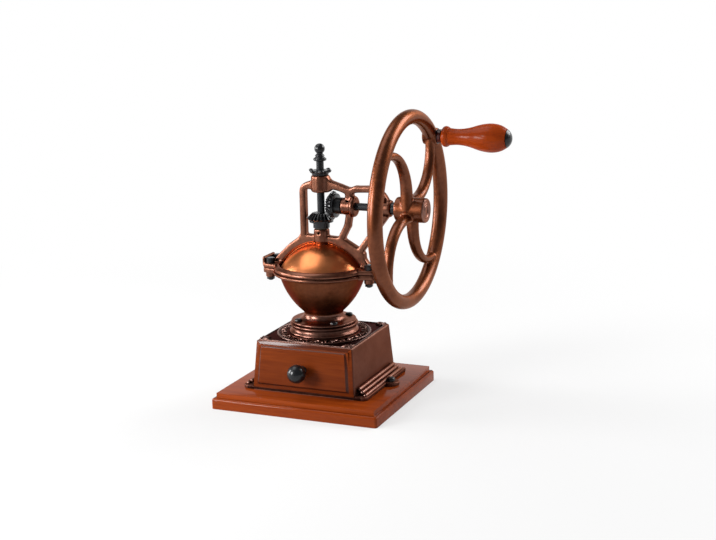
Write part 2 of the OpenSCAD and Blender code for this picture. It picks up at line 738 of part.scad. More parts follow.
// Bridge casting: seat ring, ears, frame and the four bosses that carry the spindle and the shaft
module bridge() {
  color("saddlebrown") difference() {
    union() {
      rotate([90, 0, 0]) linear_extrude(height = frame_t, center = true) frame_outline();
      rotate_extrude() polygon([
        [ledge_in_r, rim_top], [ring_r, rim_top], [ring_r, ring_top - 0.8], [ring_r - 0.8, ring_top],
        [ring_in_r, ring_top], [ring_in_r, ledge_top], [ledge_in_r, ledge_top]]);
      clamp_ears(rim_top, clamp_ear_h, ring_in_r);
      ear_lips();
      hole_z(0, 0, top_boss_z, top_boss_h, top_boss_r);
      hole_z(0, 0, low_boss_z, low_boss_h, low_boss_r);
      hole_z(0, 0, low_boss_z - spigot_l, spigot_l, spigot_r);
      along_x(inner_boss_x, inner_boss_l, shaft_boss_r);
      along_x(boss_end - 3.4, 3.4, shaft_collar_r);
      along_x(outer_boss_x, outer_boss_l, shaft_boss_r);
    }
    hole_z(0, 0, low_boss_z - spigot_l - over, spigot_l + low_boss_h + 2 * over, shaft_r + run);
    hole_z(0, 0, top_boss_z - over, top_boss_h + 2 * over, shaft_r + run);
    along_x(inner_boss_x - over, inner_boss_l + 2 * over, shaft_r + run);
    along_x(outer_boss_x - over, outer_boss_l + 2 * over, shaft_r + run);
    clamp_holes();
    oil_hole([inner_boss_x + inner_boss_l / 2, 0, axis_z], 45);
    oil_hole([outer_boss_x + outer_boss_l / 2, 0, axis_z], 60);
    oil_hole([0, 0, low_boss_top - 3], 0);
  }
}

// Small hole from a boss's front towards its axis, tilted up by an angle
module oil_hole(p, up) {
  translate(p) rotate([90 - up, 0, 0]) cylinder(h = 2 * shaft_boss_r, r = oil_r);
}

// Bolts and nuts that clamp the bridge to the bowl
module clamp_bolts() {
  color("dimgray") each_corner(clamp_x, clamp_y) {
    hole_z(0, 0, bolt_end_z, ear_top - bolt_end_z, clamp_bolt_r);
    translate([0, 0, ear_top]) cylinder(h = clamp_head_h, r = clamp_head_r, $fn = 6);
  }
}

module clamp_nuts() {
  color("dimgray") each_corner(clamp_x, clamp_y) difference() {
    translate([0, 0, bowl_ear_z - clamp_nut_h]) cylinder(h = clamp_nut_h, r = clamp_nut_r, $fn = 6);
    hole_z(0, 0, 0, far, clamp_bolt_r);
  }
}

// Part of a spherical sheet on the side of +Y or -Y, standing on height z, with a hole at its crown
module dome_half(r, z, hole, side, lap) {
  difference() {
    translate([0, 0, dome_z]) sphere(r = r);
    translate([0, 0, dome_z]) sphere(r = r - dome_sheet);
    translate([-far / 2, -far / 2, z - far]) cube([far, far, far]);
    translate([-far / 2, side > 0 ? -far - lap : lap, 0]) cube([far, far, far]);
    hole_z(0, 0, dome_z, far, hole);
  }
}

// Fixed front half of the dome
module front_shell() {
  color("chocolate") dome_half(shell_r, ledge_top, spigot_r, -1, 3);
}

// Swivelling rear half of the dome
module lid() {
  color("chocolate") difference() {
    dome_half(dome_r, ledge_top + gap, lid_hole_r, 1, 1);
    lid_knob_place() cylinder(h = 8, r = 1.2, center = true);
  }
}

module lid_knob_place() {
  translate([0, 0, dome_z]) rotate([0, 48, lid_knob_angle]) translate([0, 0, dome_r]) children();
}

// Small knob that turns the lid
module lid_knob() {
  stem_l = 3;
  color("dimgray") lid_knob_place() {
    cylinder(h = stem_l + lid_knob_r, r = 1.6);
    translate([0, 0, stem_l + lid_knob_r]) sphere(r = lid_knob_r);
    translate([0, 0, -dome_sheet - 1]) cylinder(h = dome_sheet + 1.5, r = 1.2);
  }
}

// Spindle that carries the cone burr and the lower gear
module spindle() {
  foot_z = seat_top - bar_h - 1;
  color("dimgray") difference() {
    hole_z(0, 0, foot_z, finial_z + 4 - foot_z, shaft_r);
    burr_pin_shape();
  }
}

// Bevel gear whose pitch cone's tip is the origin, with its body below and a hub that ends at depth d
module bevel_gear(d) {
  start = pitch_r + 1.5;
  stop = pitch_r - tooth_run;
  difference() {
    union() {
      intersection() {
        translate([0, 0, -start]) linear_extrude(height = start - stop, scale = stop / start)
          scale(start / pitch_r) polygon([
            for (i = [0:teeth - 1]) each concat(
              [for (f = tooth_flank) f[0] * [cos(i * 360 / teeth - f[1]), sin(i * 360 / teeth - f[1])]],
              [for (k = [len(tooth_flank) - 1:-1:0]) let (f = tooth_flank[k])
                f[0] * [cos(i * 360 / teeth + f[1]), sin(i * 360 / teeth + f[1])]])]);
        translate([0, 0, -2 * pitch_r]) cylinder(h = 2 * pitch_r, r1 = 0, r2 = 2 * pitch_r);
      }
      hole_z(0, 0, -disc_top - gear_disc_h, gear_disc_h, gear_disc_r);
      hole_z(0, 0, -d, d - disc_top, gear_hub_r);
    }
    hole_z(0, 0, -d - over, d, shaft_r);
    gear_screw_place(d) cylinder(h = far, r = set_screw_r);
  }
}

module gear_screw_place(d) {
  translate([0, 0, -(d + disc_top + gear_disc_h) / 2]) rotate([-90, 0, 0]) children();
}

module gear_screw(d) {
  gear_screw_place(d) translate([0, 0, shaft_r]) cylinder(h = gear_hub_r - shaft_r - 0.4, r = set_screw_r);
}

module spindle_gear() {
  color("dimgray") translate([0, 0, axis_z]) bevel_gear(spindle_hub_end);
}

module spindle_gear_screw() {
  color("silver") translate([0, 0, axis_z]) gear_screw(spindle_hub_end);
}

// The shaft's gear is turned by half a tooth, so that a gap faces the spindle gear's tooth
module shaft_gear_place() {
  translate([0, 0, axis_z]) rotate([0, -90, 0]) rotate(180 / teeth) children();
}

module shaft_gear() {
  color("dimgray") shaft_gear_place() bevel_gear(shaft_hub_end);
}

module shaft_gear_screw() {
  color("silver") shaft_gear_place() gear_screw(shaft_hub_end);
}

// Washer between the spindle gear's hub and the lower boss
module thrust_washer() {
  color("goldenrod") difference() {
    hole_z(0, 0, low_boss_top + gap, washer_h, low_boss_r - 1);
    hole_z(0, 0, 0, far, shaft_r);
  }
}

// Finial screwed on the top of the spindle
module finial() {
  ball_z = finial_z + 11;
  color("dimgray") difference() {
    rotate_extrude() polygon(concat(
      [[0, finial_z], [shaft_r + 0.6, finial_z], [finial_collar_r, finial_z + 1.2],
       [finial_collar_r, finial_z + 2.4], [shaft_r + 1, finial_z + 3.6], [shaft_r + 1.4, finial_z + 5],
       [shaft_r - 0.4, finial_z + 6]],
      arc([0, ball_z], finial_ball_r, -50, 90, 14)));
    hole_z(0, 0, 0, finial_z + 4, shaft_r);
  }
}

// Adjusting nut with upturned lobes
module adjusting_nut() {
  lobe_r = 2.6;
  plate_h = 2.6;
  hub = nut_r - 3.2;
  color("dimgray") difference() {
    union() {
      hole_z(0, 0, nut_z, nut_h - 1, hub);
      translate([0, 0, nut_top - plate_h]) linear_extrude(height = plate_h) {
        circle(r = nut_r - lobe_r);
        for (i = [0:nut_lobes - 1])
          rotate(i * 360 / nut_lobes) translate([nut_r - lobe_r, 0]) circle(r = lobe_r);
      }
    }
    hole_z(0, 0, nut_z - over, nut_h + 2 * over, shaft_r + run);
  }
}

// Crank shaft from the gear to the wheel's hub
module shaft() {
  color("dimgray") along_x(shaft_start, shaft_end - shaft_start, shaft_r);
}

// Collar between the outer boss and the wheel's hub
module shaft_spacer() {
  color("dimgray") difference() {
    along_x(outer_end + gap, hub_x - outer_end - gap, shaft_r + 2.2);
    along_x(0, far, shaft_r);
  }
}

// One curved spoke, drawn in the wheel's plane with the hub's middle at the origin
module spoke() {
  for (s = [-1, 1]) {
    translate([0, spoke_side, s * spoke_slot]) rotate([0, 90, 0]) cylinder(h = spoke_start, r = spoke_r);
    translate([spoke_start, spoke_side + spoke_curve, s * spoke_slot])
      rotate_extrude(start = -90, angle = spoke_sweep) translate([spoke_curve, 0]) circle(r = spoke_r);
  }
  translate([0, spoke_side - spoke_r, -spoke_slot]) cube([spoke_start, 2 * spoke_r, 2 * spoke_slot]);
  translate([spoke_start, spoke_side + spoke_curve, 0])
    rotate_extrude(start = -90, angle = spoke_sweep)
      translate([spoke_curve - spoke_r, -spoke_slot]) square([2 * spoke_r, 2 * spoke_slot]);
}

// Spoked flywheel
module flywheel() {
  color("saddlebrown") difference() {
    translate([wheel_x, 0, axis_z]) rotate([90, 0, 90]) {
      rotate_extrude() translate([wheel_r, 0]) circle(r = rim_tube_r);
      for (i = [0:spokes - 1]) rotate(i * 360 / spokes) spoke();
      translate([0, 0, hub_x - wheel_x]) cylinder(h = hub_l, r = hub_r);
      rotate(grip_angle) translate([wheel_r, 0, -rim_tube_r])
        cylinder(h = rim_boss_x - wheel_x + rim_tube_r, r = rim_boss_r);
    }
    along_x(hub_x - over, shaft_end - hub_x + over, shaft_r);
    along_x(hub_x + hub_l - 0.8, far, hub_r * 0.72);
    translate([0, grip_y, grip_z]) rotate([0, 90, 0]) cylinder(h = far, r = grip_pin_r);
    hub_screw_shape(far);
  }
}

module hub_screw_shape(l) {
  translate([hub_x + 3, 0, axis_z + shaft_r]) cylinder(h = l, r = set_screw_r);
}

// Set screw that locks the wheel on the shaft
module hub_screw() {
  color("silver") hub_screw_shape(hub_r - shaft_r - 0.5);
}

// Pin through the rim that the grip turns on
module grip_pin() {
  start = wheel_x - rim_tube_r;
  color("silver") translate([start, grip_y, grip_z]) rotate([0, 90, 0])
    cylinder(h = cap_x + 2 - start, r = grip_pin_r);
}

module grip_washer() {
  color("dimgray") translate([rim_boss_x, grip_y, grip_z]) rotate([0, 90, 0]) difference() {
    cylinder(h = grip_x - gap - rim_boss_x, r = grip_bead_r - 3);
    translate([0, 0, -over]) cylinder(h = far, r = grip_pin_r);
  }
}

// Turned wooden grip
module grip() {
  color("firebrick") translate([grip_x, grip_y, grip_z]) rotate([0, 90, 0]) rotate_extrude() polygon([
    [grip_pin_r + run, 0], [grip_bead_r - 3.2, 0], [grip_bead_r - 0.8, 1.6], [grip_bead_r, 3.6],
    [grip_bead_r - 0.6, 5.4], [grip_bead_r - 1.6, 7], [grip_neck_r + 0.4, 10.5], [grip_neck_r, 14.5],
    [grip_neck_r + 0.3, 19], [grip_neck_r + 1.7, 26], [(grip_neck_r + grip_belly_r) / 2 + 0.9, 32],
    [grip_belly_r - 0.9, grip_l - 22], [grip_belly_r - 0.1, grip_l - 17], [grip_belly_r, grip_l - 14],
    [grip_belly_r - 0.4, grip_l - 10], [grip_belly_r - 1.6, grip_l - 6], [grip_belly_r - 3, grip_l - 2.6],
    [grip_belly_r - 4.6, grip_l], [grip_pin_r + run, grip_l]]);
}

// Domed nut on the end of the grip's pin
module grip_cap() {
  dome = (grip_cap_r * grip_cap_r + grip_cap_h * grip_cap_h) / (2 * grip_cap_h);
  color("dimgray") translate([cap_x, grip_y, grip_z]) rotate([0, 90, 0]) difference() {
    intersection() {
      translate([0, 0, grip_cap_h - dome]) sphere(r = dome);
      cylinder(h = grip_cap_h, r = grip_cap_r);
    }
    translate([0, 0, -over]) cylinder(h = 2 + over, r = grip_pin_r);
  }
}

// Front board of the drawer: a plug in the housing's mouth and a lap with a bevel all round, which
// covers the housing's front, with a seat for the knob's foot
module drawer_front() {
  b = front_bevel;
  color("sienna") difference() {
    union() {
      polyhedron(
        points = [
          for (z = [front_low, front_high]) for (s = [-1, 1]) [s * front_half_w(z), -front_back, z],
          for (z = [front_low, front_high]) for (s = [-1, 1])
            [s * front_half_w(z), lap_back(z) - 1, z]],
        faces = [[0, 1, 3, 2], [0, 4, 5, 1], [2, 3, 7, 6], [0, 2, 6, 4], [1, 5, 7, 3], [4, 6, 7, 5]]);
      polyhedron(
        points = [
          for (z = [lap_low, lap_high]) for (s = [-1, 1]) [s * lap_half_w(z), lap_back(z), z],
          for (z = [lap_low, lap_high]) for (s = [-1, 1]) [s * lap_half_w(z), front_y(z) + b, z],
          for (z = [lap_low + b, lap_high - b]) for (s = [-1, 1]) [s * (lap_half_w(z) - b), front_y(z), z]],
        faces = [[0, 1, 3, 2], [0, 4, 5, 1], [2, 3, 7, 6], [0, 2, 6, 4], [1, 5, 7, 3],
          [4, 8, 9, 5], [6, 7, 11, 10], [4, 6, 10, 8], [5, 9, 11, 7], [8, 10, 11, 9]]);
    }
    translate([0, 0, knob_z]) rotate([90, 0, 0]) cylinder(h = far, r = knob_screw_r);
    translate([0, knob_y + knob_seat, knob_z]) rotate([90, 0, 0]) cylinder(h = far, r = knob_foot_r);
  }
}

// Two side boards of the drawer's box
module drawer_sides() {
  color("peru") for (side = [0, 1]) mirror([side, 0, 0])
    translate([drawer_w / 2 - drawer_board, -box_front, drawer_z]) cube([drawer_board, drawer_l, drawer_h]);
}

module drawer_back() {
  color("peru") translate([-drawer_w / 2 + drawer_board, -box_front + drawer_l - drawer_board, drawer_z])
    cube([drawer_w - 2 * drawer_board, drawer_board, drawer_h]);
}

module drawer_bottom() {
  color("peru") translate([-drawer_w / 2 + drawer_board, -box_front, drawer_z])
    cube([drawer_w - 2 * drawer_board, drawer_l - drawer_board, drawer_board]);
}

// Turned knob: foot, neck and ball
module drawer_knob() {
  ball_y = knob_foot_h + knob_neck_l + sqrt(knob_r * knob_r - knob_neck_r * knob_neck_r);
  color("dimgray") translate([0, knob_y, knob_z]) rotate([90, 0, 0]) difference() {
    union() {
      translate([0, 0, -knob_seat]) cylinder(h = knob_foot_h + knob_seat, r = knob_foot_r);
      cylinder(h = ball_y, r = knob_neck_r);
      translate([0, 0, ball_y]) sphere(r = knob_r);
    }
    translate([0, 0, -2]) cylinder(h = 2 + knob_foot_h + knob_neck_l, r = knob_screw_r);
  }
}

// Screw from inside the drawer's front into the knob
module knob_screw() {
  head_r = 3.4;
  head_h = 1.8;
  color("silver") translate([0, -front_back, knob_z]) rotate([90, 0, 0]) {
    cylinder(h = -knob_y - front_back + knob_foot_h + knob_neck_l - 0.5, r = knob_screw_r);
    translate([0, 0, -head_h]) cylinder(h = head_h, r = head_r);
  }
}

plinth();
housing();
foot_bolts();
bowl();
flange_screws();
ring_burr();
bearing_bar();
bridge();
clamp_bolts();
clamp_nuts();
front_shell();
lid();
lid_knob();
spindle();
cone_burr();
burr_pin();
spindle_gear();
spindle_gear_screw();
thrust_washer();
finial();
adjusting_nut();
shaft();
shaft_gear();
shaft_gear_screw();
shaft_spacer();
flywheel();
hub_screw();
grip_pin();
grip_washer();
grip();
grip_cap();
drawer_front();
drawer_sides();
drawer_back();
drawer_bottom();
drawer_knob();
knob_screw();
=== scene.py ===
import math

import bmesh
import bpy
from mathutils import Matrix, Vector


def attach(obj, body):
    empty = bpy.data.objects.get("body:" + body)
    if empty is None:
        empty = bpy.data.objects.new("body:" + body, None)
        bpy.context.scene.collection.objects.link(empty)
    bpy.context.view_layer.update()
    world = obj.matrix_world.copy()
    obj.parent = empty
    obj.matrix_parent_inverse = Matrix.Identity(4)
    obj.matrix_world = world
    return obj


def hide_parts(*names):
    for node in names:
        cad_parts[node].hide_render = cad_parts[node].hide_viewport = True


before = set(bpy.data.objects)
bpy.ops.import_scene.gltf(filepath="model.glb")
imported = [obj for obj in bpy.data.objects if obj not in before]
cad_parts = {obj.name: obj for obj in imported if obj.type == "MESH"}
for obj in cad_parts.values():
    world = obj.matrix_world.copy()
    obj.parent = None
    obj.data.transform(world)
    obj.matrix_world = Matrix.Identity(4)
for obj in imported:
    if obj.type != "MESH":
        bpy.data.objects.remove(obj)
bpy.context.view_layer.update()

MM = 0.001
UP = Vector((0, 0, 1))
WHEEL_SIDE = Vector((1, 0, 0))
FRONT = Vector((0, -1, 0))

# Heights and places of the stacked pieces
PLINTH_TOP = 14.1
FOOT_TOP = 17.4
HOUSE_TOP = 59.8
FLANGE_TOP = 72.7
RIM_TOP = 118.5
EAR_TOP = 122.3
EAR_END = 55.1
DOME_Z = 97.9
AXIS_Z = 177.45
SHAFT_R = 3.4
NUT_Z = 204.3
FINIAL_Z = 216.9
WHEEL_X = 84.7
WHEEL_R = 80.7
HUB_END = 100.9
GRIP_X = 95.4
GRIP_END = 155.5
GRIP = Vector((0, 57.06, 234.51))
CLAMP_X = 48.5
SCREW_REACH = 24.6 / math.sqrt(2)


def part_way(low, high, share):
    return low + (high - low) * share


def house_half_width(z):
    return part_way(99.1, 92.4, (z - PLINTH_TOP) / (HOUSE_TOP - PLINTH_TOP)) / 2


def house_half_depth(z):
    return part_way(97.3, 89, (z - PLINTH_TOP) / (HOUSE_TOP - PLINTH_TOP)) / 2


# Handling of pieces


def hold(*pieces):
    """Only these pieces are selected, and the first is the active one."""
    bpy.ops.object.select_all(action="DESELECT")
    for piece in pieces:
        piece.select_set(True)
    bpy.context.view_layer.objects.active = pieces[0]


def open_mesh(piece, kind="FACE"):
    hold(piece)
    bpy.ops.object.mode_set(mode="EDIT")
    bpy.ops.mesh.select_mode(type=kind)


def close_mesh():
    bpy.ops.object.mode_set(mode="OBJECT")


def pick(piece, test):
    """In edit mode, selects the vertices, edges or faces whose middle passes the test."""
    mesh = bmesh.from_edit_mesh(piece.data)
    verts, edges, faces = bpy.context.tool_settings.mesh_select_mode
    bpy.ops.mesh.select_all(action="DESELECT")
    for part in mesh.verts if verts else mesh.edges if edges else mesh.faces:
        if verts:
            middle = part.co / MM
        elif edges:
            middle = (part.verts[0].co + part.verts[1].co) / 2 / MM
        else:
            middle = part.calc_center_median() / MM
        if test(part, middle):
            part.select_set(True)
    mesh.select_flush_mode()
    bmesh.update_edit_mesh(piece.data)


def near(a, b, slack=0.05):
    return abs(a - b) < slack


def tidy_mesh(piece, slack=0.002):
    """Merges doubled points and turns all faces outwards."""
    open_mesh(piece)
    bpy.ops.mesh.select_all(action="SELECT")
    bpy.ops.mesh.remove_doubles(threshold=slack * MM)
    bpy.ops.mesh.normals_make_consistent(inside=False)
    close_mesh()
    return piece


def with_modifier(piece, kind, **settings):
    """Adds a modifier and applies it."""
    hold(piece)
    made = piece.modifiers.new(kind, kind)
    for key, value in settings.items():
        setattr(made, key, value)
    bpy.ops.object.modifier_apply(modifier=made.name)
    return piece


def joined(*pieces):
    hold(*pieces)
    bpy.ops.object.join()
    return pieces[0]


def placed(piece):
    """Puts the piece's place, turn and size into its mesh."""
    hold(piece)
    bpy.ops.object.transform_apply(location=True, rotation=True, scale=True)
    return piece


def copied(piece, move=(0, 0, 0), turn=0, axis="Z", about=(0, 0, 0)):
    """A copy with its own mesh, turned by degrees about a line through a point, then moved."""
    other = piece.copy()
    other.data = piece.data.copy()
    bpy.context.collection.objects.link(other)
    middle = Matrix.Translation(Vector(about) * MM)
    other.data.transform(middle @ Matrix.Rotation(math.radians(turn), 4, axis) @ middle.inverted())
    other.data.transform(Matrix.Translation(Vector(move) * MM))
    return other


def ringed(piece, count, start=0, axis="Z", about=(0, 0, 0)):
    """The piece repeated round a line, as one mesh."""
    others = [copied(piece, turn=start + 360 * i / count, axis=axis, about=about) for i in range(count)]
    bpy.data.objects.remove(piece)
    return joined(*others)


def rounded(piece, width, steps=3, angle=35):
    """Rounds all edges sharper than the angle."""
    with_modifier(piece, "BEVEL", width=width * MM, segments=steps, limit_method="ANGLE",
        angle_limit=math.radians(angle), harden_normals=False)
    return piece


def fine_cast(piece, voxel, rounds, factor=0.5):
    """Melts joined shapes into one skin with soft inner corners, as a casting has."""
    with_modifier(piece, "REMESH", mode="VOXEL", voxel_size=voxel * MM)
    with_modifier(piece, "SMOOTH", iterations=rounds, factor=factor)
    return piece


def carved(piece, tool):
    with_modifier(piece, "BOOLEAN", operation="DIFFERENCE", solver="EXACT", object=tool)
    bpy.data.objects.remove(tool)
    return piece


def shaded(piece, angle=35):
    hold(piece)
    bpy.ops.object.shade_smooth_by_angle(angle=math.radians(angle))
    return piece


def settle(piece, name, body, nodes, finish, angle=35):
    """The last step of a piece: its name, finish, body, and the solids that it stands for."""
    piece.name = name
    piece.data.name = name
    piece.data.materials.clear()
    for each in finish if isinstance(finish, (list, tuple)) else [finish]:
        piece.data.materials.append(each)
    if angle:
        shaded(piece, angle)
    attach(piece, body)
    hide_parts(*nodes)
    return piece


# Shapes that a maker starts from


def block(low, high):
    """A rectangular block between two corners."""
    low, high = Vector(low) * MM, Vector(high) * MM
    bpy.ops.object.select_all(action="DESELECT")
    bpy.ops.mesh.primitive_cube_add(size=1, location=(low + high) / 2, scale=high - low)
    return placed(bpy.context.object)


def rod(start, along, length, radius, sides=32):
    """A plain round bar, which is shaped or cut further."""
    middle = (Vector(start) + along * length / 2) * MM
    bpy.ops.object.select_all(action="DESELECT")
    bpy.ops.mesh.primitive_cylinder_add(vertices=sides, radius=radius * MM, depth=length * MM,
        location=middle, rotation=along.to_track_quat("Z", "Y").to_euler())
    return placed(bpy.context.object)


def swept(steps, degrees, centre, axis):
    """Spins what is selected about an axis; the operator itself counts angles the other way."""
    bpy.ops.mesh.spin(steps=steps, angle=-math.radians(degrees), center=Vector(centre) * MM, axis=axis)


def curve_points(points, steps=4):
    """A smooth line through the points, each a pair of radius and height."""
    line = []
    for i in range(len(points) - 1):
        a, b, c, d = (Vector(points[max(0, min(len(points) - 1, i + k))]) for k in (-1, 0, 1, 2))
        for k in range(steps):
            t = k / steps
            line.append(tuple(0.5 * (2 * b + (c - a) * t + (2 * a - 5 * b + 4 * c - d) * t * t
                + (3 * b - a - 3 * c + d) * t * t * t)))
    return line + [tuple(points[-1])]


def round_corner(centre, radius, start, end, steps=6):
    """Points of an arc in degrees, each a pair of radius and height."""
    angles = (math.radians(part_way(start, end, i / steps)) for i in range(steps + 1))
    return [(centre[0] + radius * math.cos(a), centre[1] + radius * math.sin(a)) for a in angles]


def turned(profile, start=(0, 0, 0), along=UP, sides=96, sweep=360):
    """A lathe-turned shape: the profile is drawn as a chain of points and spun about the axis."""
    out = along.orthogonal().normalized()
    spots = [(Vector(start) + along * z + out * r) * MM for r, z in profile]
    bpy.ops.object.select_all(action="DESELECT")
    bpy.ops.mesh.primitive_plane_add(size=MM, location=spots[0])
    piece = placed(bpy.context.object)
    open_mesh(piece, "VERT")
    bpy.ops.mesh.select_all(action="SELECT")
    bpy.ops.mesh.merge(type="CENTER")
    for spot, last in zip(spots[1:], spots):
        bpy.ops.mesh.extrude_region_move(TRANSFORM_OT_translate={"value": spot - last})
    bpy.ops.mesh.select_all(action="SELECT")
    swept(sides, sweep, start, along)
    close_mesh()
    return tidy_mesh(piece)


def eased(node, width=0.3, steps=2, angle=30):
    """A copy of a solid with its facets merged and its edges softened."""
    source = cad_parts[node]
    piece = source.copy()
    piece.data = source.data.copy()
    piece.parent = None
    for key in list(piece.keys()):
        del piece[key]
    bpy.context.collection.objects.link(piece)
    piece.hide_render = False
    open_mesh(piece)
    bpy.ops.mesh.select_all(action="SELECT")
    bpy.ops.mesh.remove_doubles(threshold=0.01 * MM)
    if width:
        bpy.ops.mesh.dissolve_limited(angle_limit=math.radians(2))
    close_mesh()
    if width:
        rounded(piece, width, steps, angle)
    return piece


# Finishes


class Amount:
    """A number that varies over a surface; the operators add Math nodes."""

    def __init__(self, finish, socket):
        self.finish = finish
        self.socket = socket

    def maths(self, operation, first, second=None, clamp=False):
        values = {0: first} if second is None else {0: first, 1: second}
        return self.finish.node("ShaderNodeMath", {"operation": operation, "use_clamp": clamp}, values)

    def __add__(self, other):
        return self.maths("ADD", self, other)

    def __radd__(self, other):
        return self.maths("ADD", other, self)

    def __sub__(self, other):
        return self.maths("SUBTRACT", self, other)

    def __rsub__(self, other):
        return self.maths("SUBTRACT", other, self)

    def __mul__(self, other):
        return self.maths("MULTIPLY", self, other)

    def __rmul__(self, other):
        return self.maths("MULTIPLY", other, self)

    def __pow__(self, other):
        return self.maths("POWER", self, other)

    def kept(self):
        """The number held between 0 and 1."""
        return self.maths("ADD", self, 0, clamp=True)

    def step(self, low, high):
        """0 below low, 1 above high, and smooth between."""
        return self.finish.node("ShaderNodeMapRange", {"interpolation_type": "SMOOTHSTEP"},
            {"Value": self, "From Min": low, "From Max": high})


class Finish:
    """A material and the nodes that make it."""

    def __init__(self, name):
        self.material = bpy.data.materials.new(name)
        self.material.use_nodes = True
        self.tree = self.material.node_tree
        self.shader = self.tree.nodes["Principled BSDF"]

    def node(self, kind, settings=None, values=None, out=0):
        made = self.tree.nodes.new(kind)
        for key, value in (settings or {}).items():
            if key == "stops":
                self.stops(made.color_ramp, value)
            else:
                setattr(made, key, value)
        for key, value in (values or {}).items():
            self.feed(value, made.inputs[key])
        return Amount(self, made.outputs[out])

    def stops(self, ramp, stops):
        while len(ramp.elements) < len(stops):
            ramp.elements.new(0.5)
        for element, (place, colour) in zip(ramp.elements, stops):
            element.position = place
            element.color = (*colour, 1)

    def feed(self, value, socket):
        if isinstance(value, Amount):
            self.tree.links.new(value.socket, socket)
        elif isinstance(value, tuple) and socket.type == "RGBA":
            socket.default_value = (*value, 1)
        else:
            socket.default_value = value

    def set(self, **values):
        """Feeds the shader's own sockets; an underscore in a name stands for a space."""
        for key, value in values.items():
            self.feed(value, self.shader.inputs[key.replace("_", " ")])
        return self

    def place(self, stretch=(1, 1, 1), turn=(0, 0, 0), shift=(0, 0, 0)):
        """Object coordinates in millimetres, stretched or turned."""
        here = self.node("ShaderNodeTexCoord", out="Object")
        return self.node("ShaderNodeMapping", {}, {"Vector": here,
            "Scale": tuple(1000 * s for s in stretch), "Rotation": turn, "Location": shift})

    def cloud(self, size, detail=3, rough=0.5, place=None, distortion=0):
        """Soft noise whose patches are about this many millimetres wide."""
        return self.node("ShaderNodeTexNoise", {}, {"Vector": place or self.place(),
            "Scale": 1 / size, "Detail": detail, "Roughness": rough, "Distortion": distortion})

    def blend(self, share, first, second, way="MIX"):
        """A colour between two, or one laid over the other."""
        return self.node("ShaderNodeMix", {"data_type": "RGBA", "blend_type": way},
            {0: share, 6: first, 7: second}, out=2)

    def ramp(self, amount, *stops):
        return self.node("ShaderNodeValToRGB", {"stops": stops}, {"Fac": amount})

    def relief(self, height, depth, under=None):
        """Surface relief: height 0 to 1 stands for depth in millimetres."""
        values = {"Height": height, "Distance": depth * MM, "Strength": 1}
        if under:
            values["Normal"] = under
        return self.node("ShaderNodeBump", {}, values)

    def edges(self, low, high):
        """1 on convex edges, 0 elsewhere."""
        return self.node("ShaderNodeNewGeometry", out="Pointiness").step(low, high)


def coppered(name, deep, body, rough, grain=0.012, lacquer=0.2, rim=(0.8, 0.42, 0.3)):
    """Cast iron with an antique copper finish: browned in clouds, under a thin lacquer."""
    f = Finish(name)
    patches = f.cloud(24, 4, 0.6)
    mottle = f.cloud(3.4, 3, 0.6)
    sand = f.cloud(0.8, 2, 0.6)
    tone = f.blend((patches * 0.6 + mottle * 0.4).step(0.32, 0.68), deep, body)
    f.set(Base_Color=tone, Metallic=1.0, Roughness=(rough + mottle * 0.12 - 0.06).kept(),
        Specular_Tint=rim, Coat_Weight=lacquer, Coat_Roughness=0.18,
        Normal=f.relief(sand * 0.6 + mottle * 0.4, grain))
    return f.material


def relieved(name, ground, ridge, worn, low, high):
    """Copper finish on the cast relief: nearly black ground, lighter ridges."""
    f = Finish(name)
    mottle = f.cloud(2.4, 4, 0.65)
    height = f.node("ShaderNodeSeparateXYZ", {}, {0: f.place()}, out="Z")
    raised = (height + mottle * 0.4).step(low, high)
    tone = f.blend(raised, ground, ridge)
    tone = f.blend(raised * mottle.step(0.48, 0.66) * 0.5, tone, worn)
    f.set(Base_Color=tone, Metallic=0.9, Roughness=0.42 - raised * 0.12, Coat_Weight=0.45,
        Specular_Tint=(0.6, 0.42, 0.38), Coat_Roughness=0.22, Normal=f.relief(mottle, 0.05))
    return f.material


def burnished(name, low_z, high_z):
    """Polished copper sheet with painted shade: browned towards its lower edge as a painted dark
    reflection of the ring below, and a painted dark reflection above a set height.
    """
    f = Finish(name)
    height = f.node("ShaderNodeSeparateXYZ", {}, {0: f.place()}, out="Z")
    smoke = f.cloud(14, 3, 0.55)
    streak = f.cloud(1.1, 2, 0.5, f.place((1, 1, 6)))
    # Painted shade: browned is 1 towards the lower edge and 0 higher up; this band is also a little
    # rougher.
    browned = 1 - (height + smoke * 4).step(low_z, high_z)
    tone = f.blend(smoke.step(0.35, 0.7), (0.78, 0.26, 0.095), (0.66, 0.21, 0.075))
    # Painted shade: dark brown laid over the lower band, for the dark reflection of the ring below.
    tone = f.blend(browned * 0.75, tone, (0.24, 0.10, 0.06))
    # Painted dark reflection: darker copper above high_z + 19 mm.
    tone = f.blend(height.step(high_z + 19, high_z + 24), tone, (0.22, 0.07, 0.03))
    f.set(Base_Color=tone, Metallic=1.0, Roughness=0.27 + browned * 0.1 + streak * 0.04,
        Specular_Tint=(1.0, 0.6, 0.42), Coat_Weight=0.1, Coat_Roughness=0.3,
        Normal=f.relief(streak, 0.003))
    return f.material


